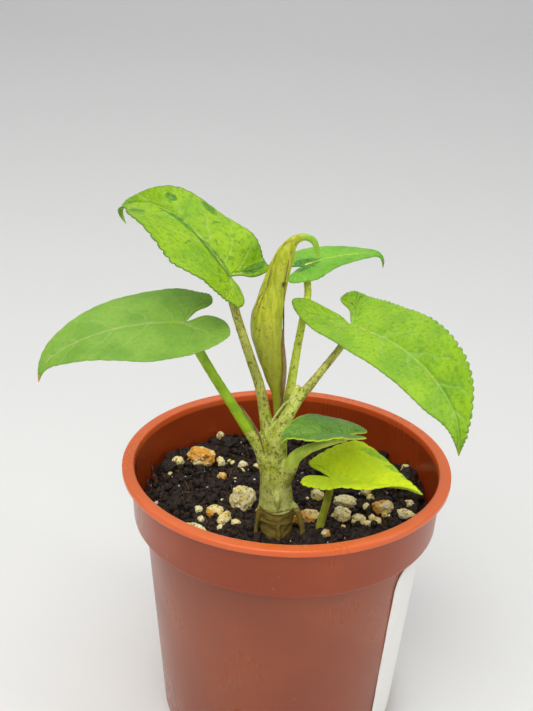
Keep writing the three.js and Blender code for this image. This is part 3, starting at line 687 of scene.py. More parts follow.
@dataclass(frozen=True)
class StalkFinish:
    """The look of a petiole or sheath: pale flesh with mottling drawn out along it."""

    name: str
    base: Colour
    shade: Colour
    mottle: Colour
    mottled: float = 0.7
    low: float = 0.55
    roughness: float = 0.4
    glow: float = 0.12
    seed: float = 0.0
    corm: bool = False

    @functools.cache
    def material(self) -> Material:
        """Builds the finish.

        Returns:
            The material.
        """
        look = Look(
            self.name, self.base, Specular_IOR_Level=0.3, Subsurface_Weight=self.glow,
            Subsurface_Radius=(0.9, 1.0, 0.3), Subsurface_Scale=0.001,
        )
        place = look.place() + (self.seed * 9.7, 0, 0)
        long = place * (1, 1, 0.7)
        broad = look.noise(long, 0.45, 3)
        look.over(broad.spread(0.35, 0.68), self.shade)
        look.over(look.noise(place * (1, 1, 0.1), 3.2, 2).spread(0.5, 0.75) * 0.25, self.shade)
        mottle = look.shared(blotches, long, 1.7, self.low, self.low + 0.08, 0.6)
        fine = look.shared(blotches, place, 3.6, self.low + 0.02, self.low + 0.1, 0.3) * 0.7
        look.over(look.math("MAXIMUM", mottle, fine) * self.mottled, self.mottle)
        if self.corm:
            self.brown(look)
        rough = broad.spread(0.3, 0.7, self.roughness - 0.05, self.roughness + 0.1)
        return look.done(rough, look.shared(relief, long, 1.2, 6.0, 0.3), 0.1)

    @staticmethod
    def brown(look: Look) -> None:
        """Browns the foot of the stem: below the lowest leaf scar it is corm, with a dry ring.

        Args:
            look: The stem's material under way.
        """
        place = look.place()
        height = place.part(2) + look.noise(place, 0.8, 2) * 1.2
        bark = look.mix(look.noise(place, 1.6, 4, 0.7), *paints("462C08 866422"))
        look.over(height.spread(60.5, 68.0, 0.3, 0.0), paint("CECC8C"))
        look.over(height.spread(57.9, 58.7, 0.82, 0.0), bark)
        look.over(abs(height - 58.75).spread(0.06, 0.28, 0.75, 0.0), paint("78582C"))


@dataclass(frozen=True)
class PlasticFinish:
    """Terracotta-coloured plastic, satin, with dust, faint scuffs, dried water marks inside, a painted
    highlight on the lip and a painted reflection greying the lower body.
    """

    name: str = "terracotta_plastic_aged"
    base: Colour = paint("A54919")
    deep: Colour = paint("943D13")
    dust: Colour = paint("AE7B5E")
    # painted highlight: the rolled lip is given a lighter orange than the plastic
    lip: Colour = paint("E27034")
    # painted reflection: a grey-brown laid over the body below the shoulder
    painted_reflection: Colour = paint("8C6450")
    roughness: float = 0.26

    def material(self) -> Material:
        """Builds the finish.

        Returns:
            The material.
        """
        look = Look(
            self.name, self.base, Specular_IOR_Level=0.42, Subsurface_Weight=0.6,
            Subsurface_Radius=(1.0, 0.3, 0.08), Subsurface_Scale=0.0028,
        )
        place = look.place()
        height = place.part(2)
        broad = look.noise(place, 0.04, 2)
        look.over(broad.spread(0.3, 0.7), self.deep)
        # Painted highlight: from the lip's foot up, the colour turns lighter orange.
        look.over(height.spread(60.2, 60.8, 0.0, 0.75), self.lip)
        # Painted reflection: below the shoulder, the body is greyed a quarter of the way to grey-brown.
        look.over(height.spread(48.4, 49.6, 0.25, 0.0), self.painted_reflection)
        look.over(look.noise(place, 1.4, 4, 0.75).spread(0.7, 0.82, 0.0, 0.2), self.dust)
        look.over(look.shared(blotches, place, 0.42, 0.68, 0.7, 0.2) * 0.22, self.dust)
        scuff = look.noise(place * (1, 1, 0.06), 1.1, 3, 0.65)
        look.over(scuff.spread(0.6, 0.75, 0.0, 0.03), self.dust)
        rough = broad.spread(0.3, 0.75, self.roughness, self.roughness + 0.08)
        rough += scuff.spread(0.5, 0.75, 0.0, 0.03)
        return look.done(rough, look.shared(relief, place, 0.5, 8.0, 0.15), 0.006)


@dataclass(frozen=True)
class PaperFinish:
    """Matt off-white label paper."""

    name: str = "label_paper_matt"
    base: Colour = paint("F8F7F3")
    worn: Colour = paint("E4E2DA")
    roughness: float = 0.62

    def material(self) -> Material:
        """Builds the finish.

        Returns:
            The material.
        """
        look = Look(self.name, self.base, Specular_IOR_Level=0.3)
        place = look.place()
        fibre = look.noise(place * (1, 1, 0.4), 5.0, 4, 0.7)
        look.over(fibre.spread(0.45, 0.8, 0.0, 0.35), self.worn)
        look.over(look.shared(blotches, place, 0.09, 0.56, 0.7, 0.5) * 0.25, self.worn)
        rough = fibre.spread(0.3, 0.7, self.roughness, self.roughness + 0.12)
        return look.done(rough, look.shared(relief, place, 0.18, 7.0, 0.08), 0.12)


@dataclass(frozen=True)
class EarthFinish:
    """Damp potting mix, near black with brown fibre."""

    name: str = "potting_mix_damp"
    base: Colour = paint("13100E")
    crumb: Colour = paint("422E22")
    fibre: Colour = paint("745038")
    fibrous: float = 0.45
    roughness: float = 0.62
    depth: float = 0.5

    @functools.cache
    def material(self) -> Material:
        """Builds the finish.

        Returns:
            The material.
        """
        look = Look(self.name, self.base, Specular_IOR_Level=0.35)
        place = look.place()
        lumps = look.noise(place, 1.3, 5, 0.7)
        look.over(lumps.spread(0.4, 0.7), self.crumb)
        look.over(look.shared(blotches, place, 2.2, 0.6, 0.66, 1.5) * self.fibrous, self.fibre)
        rough = lumps.spread(0.3, 0.7, self.roughness - 0.3, self.roughness + 0.1)
        return look.done(rough, look.shared(relief, place, 1.4, 5.0, 0.5), self.depth)


@dataclass(frozen=True)
class PumiceFinish:
    """Cream volcanic grain with rusty stains, black grit and open pores."""

    name: str
    base: Colour = paint("FFE58A")
    pale: Colour = paint("FFF6C8")
    rust: Colour = paint("EEA026")
    grit: Colour = paint("2E221A")
    rusty: float = 0.5
    seed: float = 0.0

    def material(self) -> Material:
        """Builds the finish.

        Returns:
            The material.
        """
        look = Look(
            self.name, self.base, Specular_IOR_Level=0.25, Subsurface_Weight=0.08,
            Subsurface_Radius=(1.0, 0.7, 0.4), Subsurface_Scale=0.0006,
        )
        place = look.place() + (self.seed * 17.3, self.seed * 3.1, 0)
        broad = look.noise(place, 0.7, 3)
        look.over(broad.spread(0.35, 0.65), self.pale)
        low = 0.62 - 0.2 * self.rusty
        look.over(look.noise(place, 0.26, 3, 0.6).spread(low, low + 0.14, 0.0, 0.9), self.rust)
        grit = look.shared(blotches, place, 1.1, 0.57, 0.62, 0.5) * 0.9
        specks = look.shared(blotches, place, 4.5, 0.61, 0.67, 0.2)
        look.over(look.math("MAXIMUM", grit, specks) * 0.85, self.grit)
        pores = look.add("TexVoronoi", {"Vector": place, "Scale": 3.2}, "Distance")
        height = pores * 0.7 + look.shared(relief, place, 2.0, 7.0, 0.5)
        return look.done(broad.spread(0.3, 0.7, 0.62, 0.85), height, 0.16)


@dataclass(frozen=True)
class RollFinish:
    """The look of the rolled leaf: thin yellow-olive tissue that light shines through."""

    name: str = "furled_olive"
    base: Colour = paint("C0C53A")
    shade: Colour = paint("9DA822")
    green: Colour = paint("84B834")
    brown: Colour = paint("705C30")
    low: Colour = paint("92961C")
    scar: Colour = paint("3C2E1E")
    scar_at: Point = (-1.9, -13.4, 106)
    roughness: float = 0.36

    def material(self) -> Material:
        """Builds the finish.

        Returns:
            The material.
        """
        look = Look(
            self.name, self.base, Specular_IOR_Level=0.32, Subsurface_Weight=0.35,
            Subsurface_Radius=(1.0, 1.0, 0.25), Subsurface_Scale=0.0016,
        )
        place = look.place()
        x, long = place.part(0), place * (1, 1, 0.16)
        streak = look.noise(long, 1.6, 3, 0.6)
        look.over(streak.spread(0.38, 0.64), self.shade)
        look.over(look.noise(place * (1, 1, 0.07), 4.5, 2).spread(0.5, 0.7) * 0.35, self.shade)
        look.over(x.spread(0.2, 2.0, 0.0, 0.85), self.green)
        look.over(place.part(2).spread(84, 103, 0.85, 0.0), self.low)
        specks = look.shared(blotches, place, 1.6, 0.555, 0.63, 0.8)
        look.over(specks * x.spread(-7.5, -3.0, 0.95, 0.3), self.brown)
        away = ((place - self.scar_at) * (1, 0.3, 0.7)).length()
        look.over(away.spread(0.25, 0.6, 0.9, 0.0), self.scar)
        rough = streak.spread(0.3, 0.7, self.roughness - 0.06, self.roughness + 0.1)
        return look.done(rough, look.shared(relief, long, 1.3, 5.0, 0.4), 0.16)


@dataclass(frozen=True)
class PlainFloor:
    """A matt pale floor."""

    name: str = "floor_pale"
    base: Colour = paint("DBDBD9")

    def material(self) -> Material:
        """Builds the finish.

        Returns:
            The material.
        """
        look = Look(self.name, self.base, Specular_IOR_Level=0.1, Roughness=0.9)
        look.over(look.noise(look.place(), 0.002, 1), tuple(c * 0.985 for c in self.base))
        look.feed(look.shader.inputs["Base Color"], look.colour)
        return look.material


# --------------------------------------------------------------------------- pot


@dataclass
class Pot:
    """The thin-walled pot with its collar, rolled lip, drain holes and paper label."""

    plastic: PlasticFinish = PlasticFinish()
    paper: PaperFinish = PaperFinish()
    height: float = 62
    rim: float = 35
    mouth: float = 32.5
    lip: float = 1.4
    rounding: float = 0.4
    collar_height: float = 12
    collar_top: float = 33.2
    collar_foot: float = 32.6
    shoulder: float = 30.2
    drop: float = 1.1
    base: float = 26.2
    base_rounding: float = 0.9
    wall: float = 0.9
    floor: float = 1.2
    sides: int = 192
    crease: float = 50
    drains: int = 6
    drain_radius: float = 2.6
    drain_circle: float = 16
    drain_sides: int = 32
    label_half_angle: float = 39
    label_top: float = 47.4
    label_foot: float = 3
    label_corner: float = 4.5
    label_gap: float = 0.06
    label_thickness: float = 0.16
    label_wave: float = 0.05
    label_curl: float = 0.1
    label_curl_width: float = 0.8
    label_columns: int = 72
    label_rows: int = 36

    def profile(self) -> list[tuple[float, float]]:
        """The wall's outline with its corners rounded.

        Returns:
            Radius and height of its points, from the bottom's middle out, up and back in.
        """
        foot, lip_foot = self.height - self.collar_height, self.height - self.lip
        shoulder_top = foot - self.drop
        rough = [
            (0, 0, 0), (self.base, 0, self.base_rounding), (self.shoulder, shoulder_top, 0.5),
            (self.collar_foot, foot, 0.45), (self.collar_top, lip_foot, 0.25),
            (self.rim, lip_foot, self.rounding), (self.rim, self.height, self.rounding),
            (self.mouth, self.height, self.rounding), (self.mouth - 0.15, lip_foot, 0.3),
            (self.collar_foot - self.wall, foot + 0.2, 0.5),
            (self.shoulder - self.wall, shoulder_top - self.wall / 2, 0.5),
            (self.base - self.wall, self.floor, self.base_rounding), (0, self.floor, 0),
        ]
        outline = [rough[0][:2]]
        for before, (*place, curve), after in zip(rough, rough[1:], rough[2:]):
            here = np.array(place)
            arms = [np.array(end[:2]) - here for end in (before, after)]
            ends = [here + unit(arm) * min(curve, 0.45 * np.linalg.norm(arm)) for arm in arms]
            for t in np.linspace(0, 1, 5):
                outline.append(tuple((1 - t) ** 2 * ends[0] + 2 * t * (1 - t) * here + t**2 * ends[1]))
        return [*outline, rough[-1][:2]]

    def build(self) -> None:
        """Builds the pot and cuts its drain holes."""
        shell = Skin(*turned(self.profile(), self.sides))
        pot = mesh_piece("pot_shell", shell, self.plastic.material())
        radius, depth, cutters = self.drain_radius * MM, 5 * self.floor * MM, bmesh.new()
        for turn in np.arange(self.drains) / self.drains * ROUND:
            x, y = self.drain_circle * math.cos(turn), self.drain_circle * math.sin(turn)
            where = Matrix.Translation(Vector((x, y, self.floor / 2)) * MM)
            bmesh.ops.create_cone(
                cutters, cap_ends=True, segments=self.drain_sides, radius1=radius, radius2=radius,
                depth=depth, matrix=where,
            )
        mesh = bpy.data.meshes.new("drain_cutters")
        cutters.to_mesh(mesh)
        cutters.free()
        tool = bpy.data.objects.new("drain_cutters", mesh)
        bpy.context.collection.objects.link(tool)
        reshape(pot, "BOOLEAN", operation="DIFFERENCE", object=tool, solver="EXACT")
        bpy.data.objects.remove(tool)
        bpy.data.meshes.remove(mesh)
        reshape(pot, "EDGE_SPLIT", split_angle=self.crease * DEG)
        dress(pot, Slot.POT, "pot")

    def radius_at(self, height: float) -> float:
        """The radius of the pot's body at a height."""
        ends = self.base_rounding, self.height - self.collar_height - self.drop
        return float(np.interp(height, ends, (self.base, self.shoulder)))

    def label(self) -> None:
        """Builds the paper label on the body's right side, with slightly lifted edges."""
        half, corner = self.label_half_angle * DEG, self.label_corner / self.shoulder
        angles, points = np.linspace(-1, 1, self.label_columns + 1), []
        for lift in (0.0, self.label_thickness):
            for angle in np.sign(angles) * np.abs(angles) ** 0.9 * half:
                inset = min(1.0, (half - abs(angle)) / corner)
                cut = self.label_corner * (1 - math.sqrt(max(0.0, 1 - (1 - inset) ** 2)))
                low, high = self.label_foot + cut, self.label_top - cut
                for height in np.linspace(low, high, self.label_rows + 1):
                    wave = self.label_wave * noise.noise(Vector((angle * 9, height * 0.12, 3)))
                    edge = min(abs(half - abs(angle)) * self.shoulder, height - low, high - height)
                    curl = self.label_curl * math.exp(-edge / self.label_curl_width)
                    curl *= 0.5 + noise.noise(Vector((angle * 14, height * 0.3, 8)))
                    lifted = self.label_gap + lift + max(0.0, wave) + max(0.0, curl)
                    radius = self.radius_at(height) + lifted
                    points.append((radius * math.cos(angle), radius * math.sin(angle), height))
        rows, step, size = self.label_rows, self.label_rows + 1, len(points) // 2
        faces = []
        for a in (i + j for i in range(0, size - step, step) for j in range(rows)):
            sheet = (a, a + 1, a + step + 1, a + step)
            faces += [sheet, tuple(size + i for i in (sheet[0], *sheet[:0:-1]))]
        rim = [*range(0, size - step, step), *range(size - step, size - 1)]
        rim += [*range(size - 1, rows, -step), *range(rows, 0, -1)]
        faces += [(a, b, size + b, size + a) for a, b in zip(rim, rim[1:] + rim[:1])]
        label = mesh_piece("label_sheet", Skin(np.array(points), faces), self.paper.material())
        dress(label, Slot.LABEL, "label")


# --------------------------------------------------------------------------- leaves


@dataclass(frozen=True)
class Half:
    """One half of a blade: flat sizes in millimetres and shape numbers, angles in degrees."""

    width: float
    lobe_length: float
    spread: float
    inner: float
    fold: float
    arch: float
    lobe: float
    belly: float
    wave: float
    phase: float
    teeth: float


@dataclass(frozen=True)
class Stalk:
    """A petiole: its route, half widths and the share of it that lies in its sheath."""

    points: tuple[Point, ...]
    widths: tuple[float, ...]
    split: float


@dataclass(frozen=True)
class Leaf:
    """A leaf: how its midrib runs, the two halves of its blade and its petiole."""

    node: str
    slot: Slot
    blade: LeafFinish
    petiole: StalkFinish
    foot: Point
    heading: float
    pitch: float
    roll: float
    twist: float
    droop: float
    hook: float
    hook_at: float
    swerve: float
    length: float
    shoulder: float
    acumen: float
    waves: float
    left: Half
    right: Half
    stalk: Stalk
    teeth_ribs: int = 33
    teeth_fineness: int = 2
    ribs: int = 176
    cells: int = 26
    notch: float = 0.015
    lobe_reach: float = 9
    tip_width: float = 0.12
    half_thickness: float = 0.17
    thinning: float = 0.6
    groove: float = 0.16
    groove_width: float = 0.5
    ridge: float = 0.4
    ridge_at: float = 1.1
    unevenness: float = 0.1
    parting: float = 22
    weld_per_mm: float = 400
    slipped: float = 3.5
    midrib_steps: int = 60
    tube_steps: int = 170
    tube_sides: int = 24

    def midrib(self, x: Array) -> list[Array]:
        """Reads the midrib at distances from its foot.

        Args:
            x: The distances.

        Returns:
            Its place and its forward, sideways and upward directions there.
        """
        share = np.linspace(0, 1, self.midrib_steps + 1)
        past = np.maximum(0, (share - self.hook_at) / (1 - self.hook_at))
        pitch = (self.pitch - self.droop * share**1.2 - 2 * self.hook * past**2 * (3 - 2 * past)) * DEG
        heading = (self.heading + 2 * self.swerve * share) * DEG
        ahead = np.stack([np.cos(pitch) * np.cos(heading), np.cos(pitch) * np.sin(heading), np.sin(pitch)], 1)
        run = (ahead[1:] + ahead[:-1]) * self.length / self.midrib_steps / 2
        place = np.asarray(self.foot) + np.vstack([np.zeros(3), np.cumsum(run, 0)])
        level = np.stack([-np.sin(heading), np.cos(heading), 0 * heading], 1)
        roll = ((self.roll + self.twist * share) * DEG)[:, None]
        out = level * np.cos(roll) + np.cross(ahead, level) * np.sin(roll)
        at = np.clip(x / self.length, 0, 1)
        whole = (place, ahead, out, np.cross(ahead, out))
        return [np.stack([np.interp(at, share, rows[:, k]) for k in range(3)], -1) for rows in whole]

    def bent(self, half: Half, side: int, x: Array, y: Array) -> Array:
        """Bends flat points of one half into place.

        Args:
            half: The half.
            side: 1 on the left and -1 on the right.
            x: Distances ahead of the foot.
            y: Distances from the midrib.

        Returns:
            Points in space.
        """
        place, ahead, out, up = self.midrib(x)
        bend, fold = max(half.arch, 0.01) * DEG / half.width, half.fold * DEG
        across = (math.sin(fold) - np.sin(fold - bend * y)) / bend
        lift = (np.cos(fold - bend * y) - math.cos(fold)) / bend
        forward = np.maximum(x, 0) / self.length
        ripple = np.sin(ROUND * (self.waves * forward + half.phase)) * np.minimum(forward / 0.15, 1)
        back = np.minimum(x, 0)
        droop = half.lobe * DEG * np.maximum(0, -x - self.notch * self.length) / self.lobe_reach / 2
        lift = lift + half.wave * ripple * (y / half.width) ** 2 + back * np.sin(droop)
        parts = ((back * np.cos(droop), ahead), (side * across, out), (lift, up))
        return place + sum(size[..., None] * direction for size, direction in parts)

    def flat_grid(self, half: Half, side: int) -> tuple[Array, Array, Array]:
        """Lays out one half flat, in rows from rib to margin.

        Args:
            half: The half.
            side: 1 on the left and -1 on the right.

        Returns:
            Points by rib and cell, their reach from the rib's root and their distance to the margin.
        """
        length, lobe, spread, width = self.length, half.lobe_length, half.spread, half.width
        pulled = [min(h.inner, 0) * h.spread / h.lobe_length for h in (self.left, self.right)]
        slip = side * 3.5 * self.notch * length * (pulled[0] - pulled[1])
        corners = np.array([
            (-self.notch * length, slip, 0),
            (-0.45 * lobe, half.inner * spread, 0),
            (-0.85 * lobe, (0.35 + 0.65 * half.inner) * spread, 0),
            (-lobe, 0.85 * spread, 0),
            (-0.85 * lobe, 1.18 * spread, 0),
            (-0.4 * lobe, 0.53 * spread + 0.52 * width, 0),
            (0.3 * self.shoulder * length, 0.97 * width, 0),
            ((self.shoulder + 0.06) * length, width, 0.1 * length),
            (0.48 * length, half.belly * width, 0.33 * length),
            (0.74 * length, self.acumen * width, 0.63 * length),
            (0.9 * length, 0.33 * self.acumen * width, 0.84 * length),
            (length, self.tip_width / 2, length),
        ])
        at = np.linspace(0, LAST_CORNER, self.ribs + 1)
        margin = through(corners[:, :2], at)
        run = np.gradient(margin, axis=0)
        turn = at / LAST_CORNER * self.teeth_ribs * self.teeth_fineness
        tooth = 1.5 * np.abs(np.cos(math.pi / 2 * turn)) ** 0.55 - 0.5
        fade = np.clip((at - 3.1) * 2.5, 0, 1) * np.clip((LAST_CORNER - at) * 1.6 - 0.4, 0, 1)
        uneven = 1.3 + 0.9 * bumps(at[:, None] * (1, 0, 0), 3.1, (0, side * 7.0, length))
        outward = unit(np.stack([-run[:, 1], run[:, 0]], 1))
        margin = margin + (half.teeth * tooth * fade * uneven)[:, None] * outward
        forward = np.interp(at, range(LAST_CORNER + 1), corners[:, 2])
        spine = np.maximum(0, 1 - np.abs(at - 3) / 3)[:, None]
        opened = max(half.inner, 0)
        bend = np.array([-0.29 * lobe, (0.38 + 0.49 * opened) * spread])
        end = np.array([-0.55 * lobe, (0.55 + 0.34 * opened) * spread])
        root = np.stack([forward, 0 * forward], 1) + 2 * spine * (1 - spine) * bend + spine**2 * end
        share = 1 - (1 - np.linspace(0, 1, self.cells + 1)) ** 1.5
        flat = root[:, None] + share[None, :, None] * (margin - root)[:, None]
        reach = np.linalg.norm(margin - root, axis=1)[:, None] * share
        return flat, reach, reach[:, -1:] - reach

    def skin(self) -> Skin:
        """Builds the blade as a thin closed sheet.

        Returns:
            The sheet, with maps named ribs, flat and edge.
        """
        at = np.linspace(0, 1, self.ribs + 1)
        grids, tables = [], []
        for half, side in ((self.left, 1), (self.right, -1)):
            flat, reach, edge = self.flat_grid(half, side)
            grid = self.bent(half, side, flat[..., 0], flat[..., 1])
            if grids:
                shared = np.clip(1 - self.parting * at, 0, 1) ** 2
                grid = grid + shared[:, None, None] * (grids[0][0] - grid[0])
            grids.append(grid)
            x, y = flat[..., 0] / FLAT_SCALE, side * flat[..., 1] / FLAT_SCALE
            tables.append(np.stack([at[:, None] + 0 * reach, reach / RIB_SCALE, x, y, edge], -1))
        places, table = np.stack(grids).reshape(-1, 3), np.stack(tables).reshape(-1, 5)
        keys = np.round(places * self.weld_per_mm).astype(int)
        _, first, welded = np.unique(keys, axis=0, return_index=True, return_inverse=True)
        points, reach, welded = places[first], table[first, 1] * RIB_SCALE, welded.ravel()
        rim = np.full(len(points), 9.0)
        np.minimum.at(rim, welded, table[:, 4])
        row = self.cells + 1
        corner = (np.arange(self.ribs)[:, None] * row + np.arange(self.cells)).ravel()
        ring = np.stack([corner, corner + row, corner + row + 1, corner + 1], 1)
        spots = np.vstack([ring, ring[:, ::-1] + (self.ribs + 1) * row])
        quads = welded[spots]
        normals = self.normals(points, quads)
        uneven = bumps(points, 0.21) + 0.35 * bumps(points, 0.7)
        points = points + (self.unevenness * uneven * np.clip(reach / 2, 0, 1))[:, None] * normals
        inner = np.clip(rim / self.thinning, 0, 1)
        body = self.half_thickness * np.sqrt(1 - (1 - inner) ** 2)
        ridge = self.ridge * np.exp(-(((reach - self.ridge_at) / self.groove_width) ** 2))
        dip = self.groove * inner * (np.exp(-((reach / self.groove_width) ** 2)) - ridge)
        layers = [points + (body - dip)[:, None] * normals, points - (body + dip)[:, None] * normals]
        lower = (np.arange(len(points)) + len(points) * (rim >= 1e-6)).tolist()
        faces, where, upward = [], [], []
        for upper in (True, False):
            for quad, spot in zip(quads.tolist(), spots.tolist()):
                kept = [(quad[k], spot[k]) for k in range(4) if quad[k] != quad[k - 1]]
                if len(kept) > 2:
                    kept = kept if upper else kept[::-1]
                    faces.append(tuple(v if upper else lower[v] for v, _ in kept))
                    where += [s for _, s in kept]
            upward += [float(upper)] * (len(where) - len(upward))
        edge = np.stack([table[where, 4], upward], 1)
        maps = {"ribs": table[where, :2], "flat": table[where, 2:4], "edge": edge}
        return Skin(np.vstack(layers), faces, maps)

    @staticmethod
    def normals(points: Array, quads: Array) -> Array:
        """Finds the upward directions of a sheet.

        Args:
            points: Its points.
            quads: Its four-sided faces, by point number.

        Returns:
            A unit direction for each point.
        """
        a, b, c, d = (points[quads[:, k]] for k in range(4))
        total = np.zeros_like(points)
        for k in range(4):
            np.add.at(total, quads[:, k], np.cross(c - a, d - b))
        return unit(total)

    def stalk_skin(self) -> Skin:
        """Builds the petiole from its sheath on, its neck and the raised midrib, as one tube.

        Returns:
            Its surface.
        """
        split, widths = self.stalk.split, self.stalk.widths
        route, neck, under = Route(self.stalk.points), widths[-1], []
        drops = {0.03: neck, 0.12: neck - 0.22, 0.28: 0.42, 0.47: 0.3, 0.66: 0.22, 0.86: 0.14}
        for share, drop in drops.items():
            place, _, _, up = self.midrib(np.array([share * self.length]))
            under.append(place[0] - drop * up[0])
        points = np.vstack([route.at(np.linspace(0, 1, 24, endpoint=False)), under])
        length = Route(points).length
        ends = [length - (Route(under[k:]).length if k < 5 else 0) for k in range(6)]
        knots = [*np.linspace(0, route.length, len(widths))]
        knots += [max(end, route.length + 0.2 * k + 0.2) for k, end in enumerate(ends)]
        sizes = [*widths, neck, 0.8 * neck, 0.42, 0.32, 0.24, 0.1]
        sizes = np.interp(np.linspace(0, length, 160), knots, sizes)
        start = max(0.02, split * route.length - self.slipped) / length if split else 0.0
        tube = Tube(tuple(points), tuple(sizes), start)
        return tube.skin(self.tube_steps, self.tube_sides, 0.05, len(self.node))

    def build(self) -> None:
        """Builds the blade and the petiole."""
        for part, skin, finish, slot in (
            ("blade", self.skin(), self.blade, self.slot),
            ("petiole", self.stalk_skin(), self.petiole, Slot.STEM),
        ):
            dress(mesh_piece(self.node.replace("leaf", part), skin, finish.material()), slot, self.node)


# --------------------------------------------------------------------------- stem


@dataclass(frozen=True)
class Strand:
    """A thin line laid on the front of a piece, such as the edge of a sheath."""

    line: tuple[tuple[float, float], ...]
    depth: float
    width: float = 0.22
    tip: float = 0.05
    sunk: float = 0.45
    strays: float = 2.5
    samples: int = 6

    def skin(self, piece: Piece, seed: int) -> Skin:
        """Builds the strand on a piece.

        Args:
            piece: The piece that it lies on.
            seed: Which unevenness it gets.

        Returns:
            A closed surface.
        """
        count = len(self.line)
        line = through(np.asarray(self.line, float), np.linspace(0, count - 1, self.samples * count))
        depths, last = [], self.depth
        for x, z in line:
            hit, where, _, _ = piece.ray_cast(Vector((x, -60, z)) * MM, Vector((0, 1, 0)))
            if hit and abs(where.y / MM - self.depth) < self.strays:
                last = where.y / MM + self.sunk * self.width
            depths.append(last)
        points = np.stack([line[:, 0], smoothed(np.array(depths), 5), line[:, 1]], 1)
        widths = (self.tip, self.width, self.width * 1.15, self.width, self.tip)
        return Tube(tuple(points), widths).skin(10 * count, 10, 0.05, seed)


DRY = StalkFinish("dry_edge", *paints("9C7E54 785C3A 543E28"), 0.6, 0.55, 0.6, 0.0, 7)


@dataclass
class Stem:
    """The corm, the leaf sheaths that overlap round the shoot, roots, scars and dry sheath tips."""

    flesh: StalkFinish = StalkFinish(
        "stem_flesh_mottled", *paints("D6DE74 AAB836 605C1E"), 0.8, 0.53, corm=True
    )
    pale: StalkFinish = StalkFinish(
        "fresh_edge", *paints("CED680 B4BE64 82683C"), 0.6, 0.58, seed=8
    )
    voxel: float = 0.22
    corm: Tube = Tube(
        ((-1.6, -12.2, 46.5), (-1.5, -12.2, 51), (-1.5, -12.1, 56), (-1.6, -12.1, 60.6)), (2.5, 3.1, 3.5, 3.5)
    )
    trunk: Tube = Tube(
        ((-1.5, -12.1, 54.5), (-2, -12, 62), (-2.4, -12, 66), (-2.4, -12.1, 72), (-2.3, -12.2, 77.6)),
        (3.4, 3.55, 3.2, 2.8, 2.45, 2.35, 1.9),
    )
    roots: tuple[Tube, ...] = (
        Tube(((-1.7, -14.3, 63.4), (-1.5, -15.5, 61), (-1.4, -15.5, 58.2)), (0.4, 0.65, 0.3)),
        Tube(((-1.1, -14.2, 57), (-1, -15.3, 55.6), (-0.9, -15.7, 52), (-0.9, -15.9, 48)), (0.4, 0.42, 0.35)),
        Tube(((0.8, -12.8, 59.3), (2.4, -13.2, 57.6), (3.5, -13.6, 55), (4.4, -14, 50)), (0.7, 0.62, 0.5)),
        Tube(((-3.5, -12.6, 61), (-4.9, -13.2, 58.6), (-5.5, -13.6, 54), (-5.9, -13.9, 48)), (0.4, 0.5, 0.4)),
        Tube(((-2.2, -10.5, 57.4), (-2.4, -8.6, 54.5), (-2.5, -8.1, 48)), (0.8, 0.7, 0.6)),
    )
    tips: tuple[Tube, ...] = (
        Tube(((0, -13, 79.4), (1, -13.2, 82.6), (1.7, -13.1, 85.6)), (0.9, 1.05, 0.6)),
        Tube(((-4.2, -13.3, 70.5), (-4.5, -13.9, 73), (-4.2, -14, 75.4)), (0.7, 0.7, 0.25)),
    )
    ring_heights: tuple[float, ...] = (52.4, 55.1, 57.9)
    pale_edges: tuple[Strand, ...] = (
        Strand(((-4, 74.8), (-3.1, 77.5), (-1.1, 80.8), (0.9, 83.2), (1.6, 84.8)), -14.6, 0.24),
        Strand(((-0.1, 74.7), (0.9, 75.4), (2.5, 74.6), (3.7, 73.4)), -15.4, 0.24),
    )
    dry_edges: tuple[Strand, ...] = (Strand(((-9.5, 81.3), (-6.4, 76.5), (-5, 72.8), (-4, 69)), -14.4, 0.2),)

    def build(self, stalks: list[Stalk]) -> None:
        """Builds the stem and lays the sheath edges on it.

        Args:
            stalks: The petioles whose sheaths make it up.
        """
        skins = [self.corm.skin(60, 40, 0.35), self.trunk.skin(70, 40, 0.12)]
        for stalk in stalks:
            if stalk.split:
                sheath = Tube(stalk.points, stalk.widths, end=stalk.split + 0.02)
                skins.append(sheath.skin(60, 28, 0.08, len(skins)))
        skins += [root.skin(40, 18, 0.2, i) for i, root in enumerate(self.roots)]
        skins += [tip.skin(30, 16) for tip in self.tips]
        skins += [self.ring(height) for height in self.ring_heights]
        stem = mesh_piece("stem_and_sheaths", joined(skins), self.flesh.material())
        reshape(stem, "REMESH", mode="VOXEL", voxel_size=self.voxel * MM, use_smooth_shade=True)
        reshape(stem, "SMOOTH", factor=0.5, iterations=4)
        dress(stem, Slot.STEM, "stem")
        for name, strands, finish in (("fresh", self.pale_edges, self.pale), ("dry", self.dry_edges, DRY)):
            skin = joined([strand.skin(stem, i) for i, strand in enumerate(strands)])
            dress(mesh_piece(f"sheath_edges_{name}", skin, finish.material()), Slot.STEM, "stem")

    def ring(self, height: float) -> Skin:
        """Builds a leaf scar: a thin uneven ring round the corm.

        Args:
            height: Where it runs.

        Returns:
            A closed surface.
        """
        foot, top = self.corm.points[0][2], self.corm.points[-1][2]
        share = (height - foot) / (top - foot)
        centre = Route(self.corm.points).at(np.array([share]))[0]
        radius = np.interp(share * 3, range(4), self.corm.widths) + 0.06
        turn = np.arange(40) / 40 * ROUND
        x, y = centre[0] + radius * np.cos(turn), centre[1] + radius * np.sin(turn)
        loop = np.stack([x, y, height + 0.25 * np.sin(2 * turn + height)], 1)
        return Tube(tuple(loop), (0.1, 0.2, 0.1)).skin(120, 10)


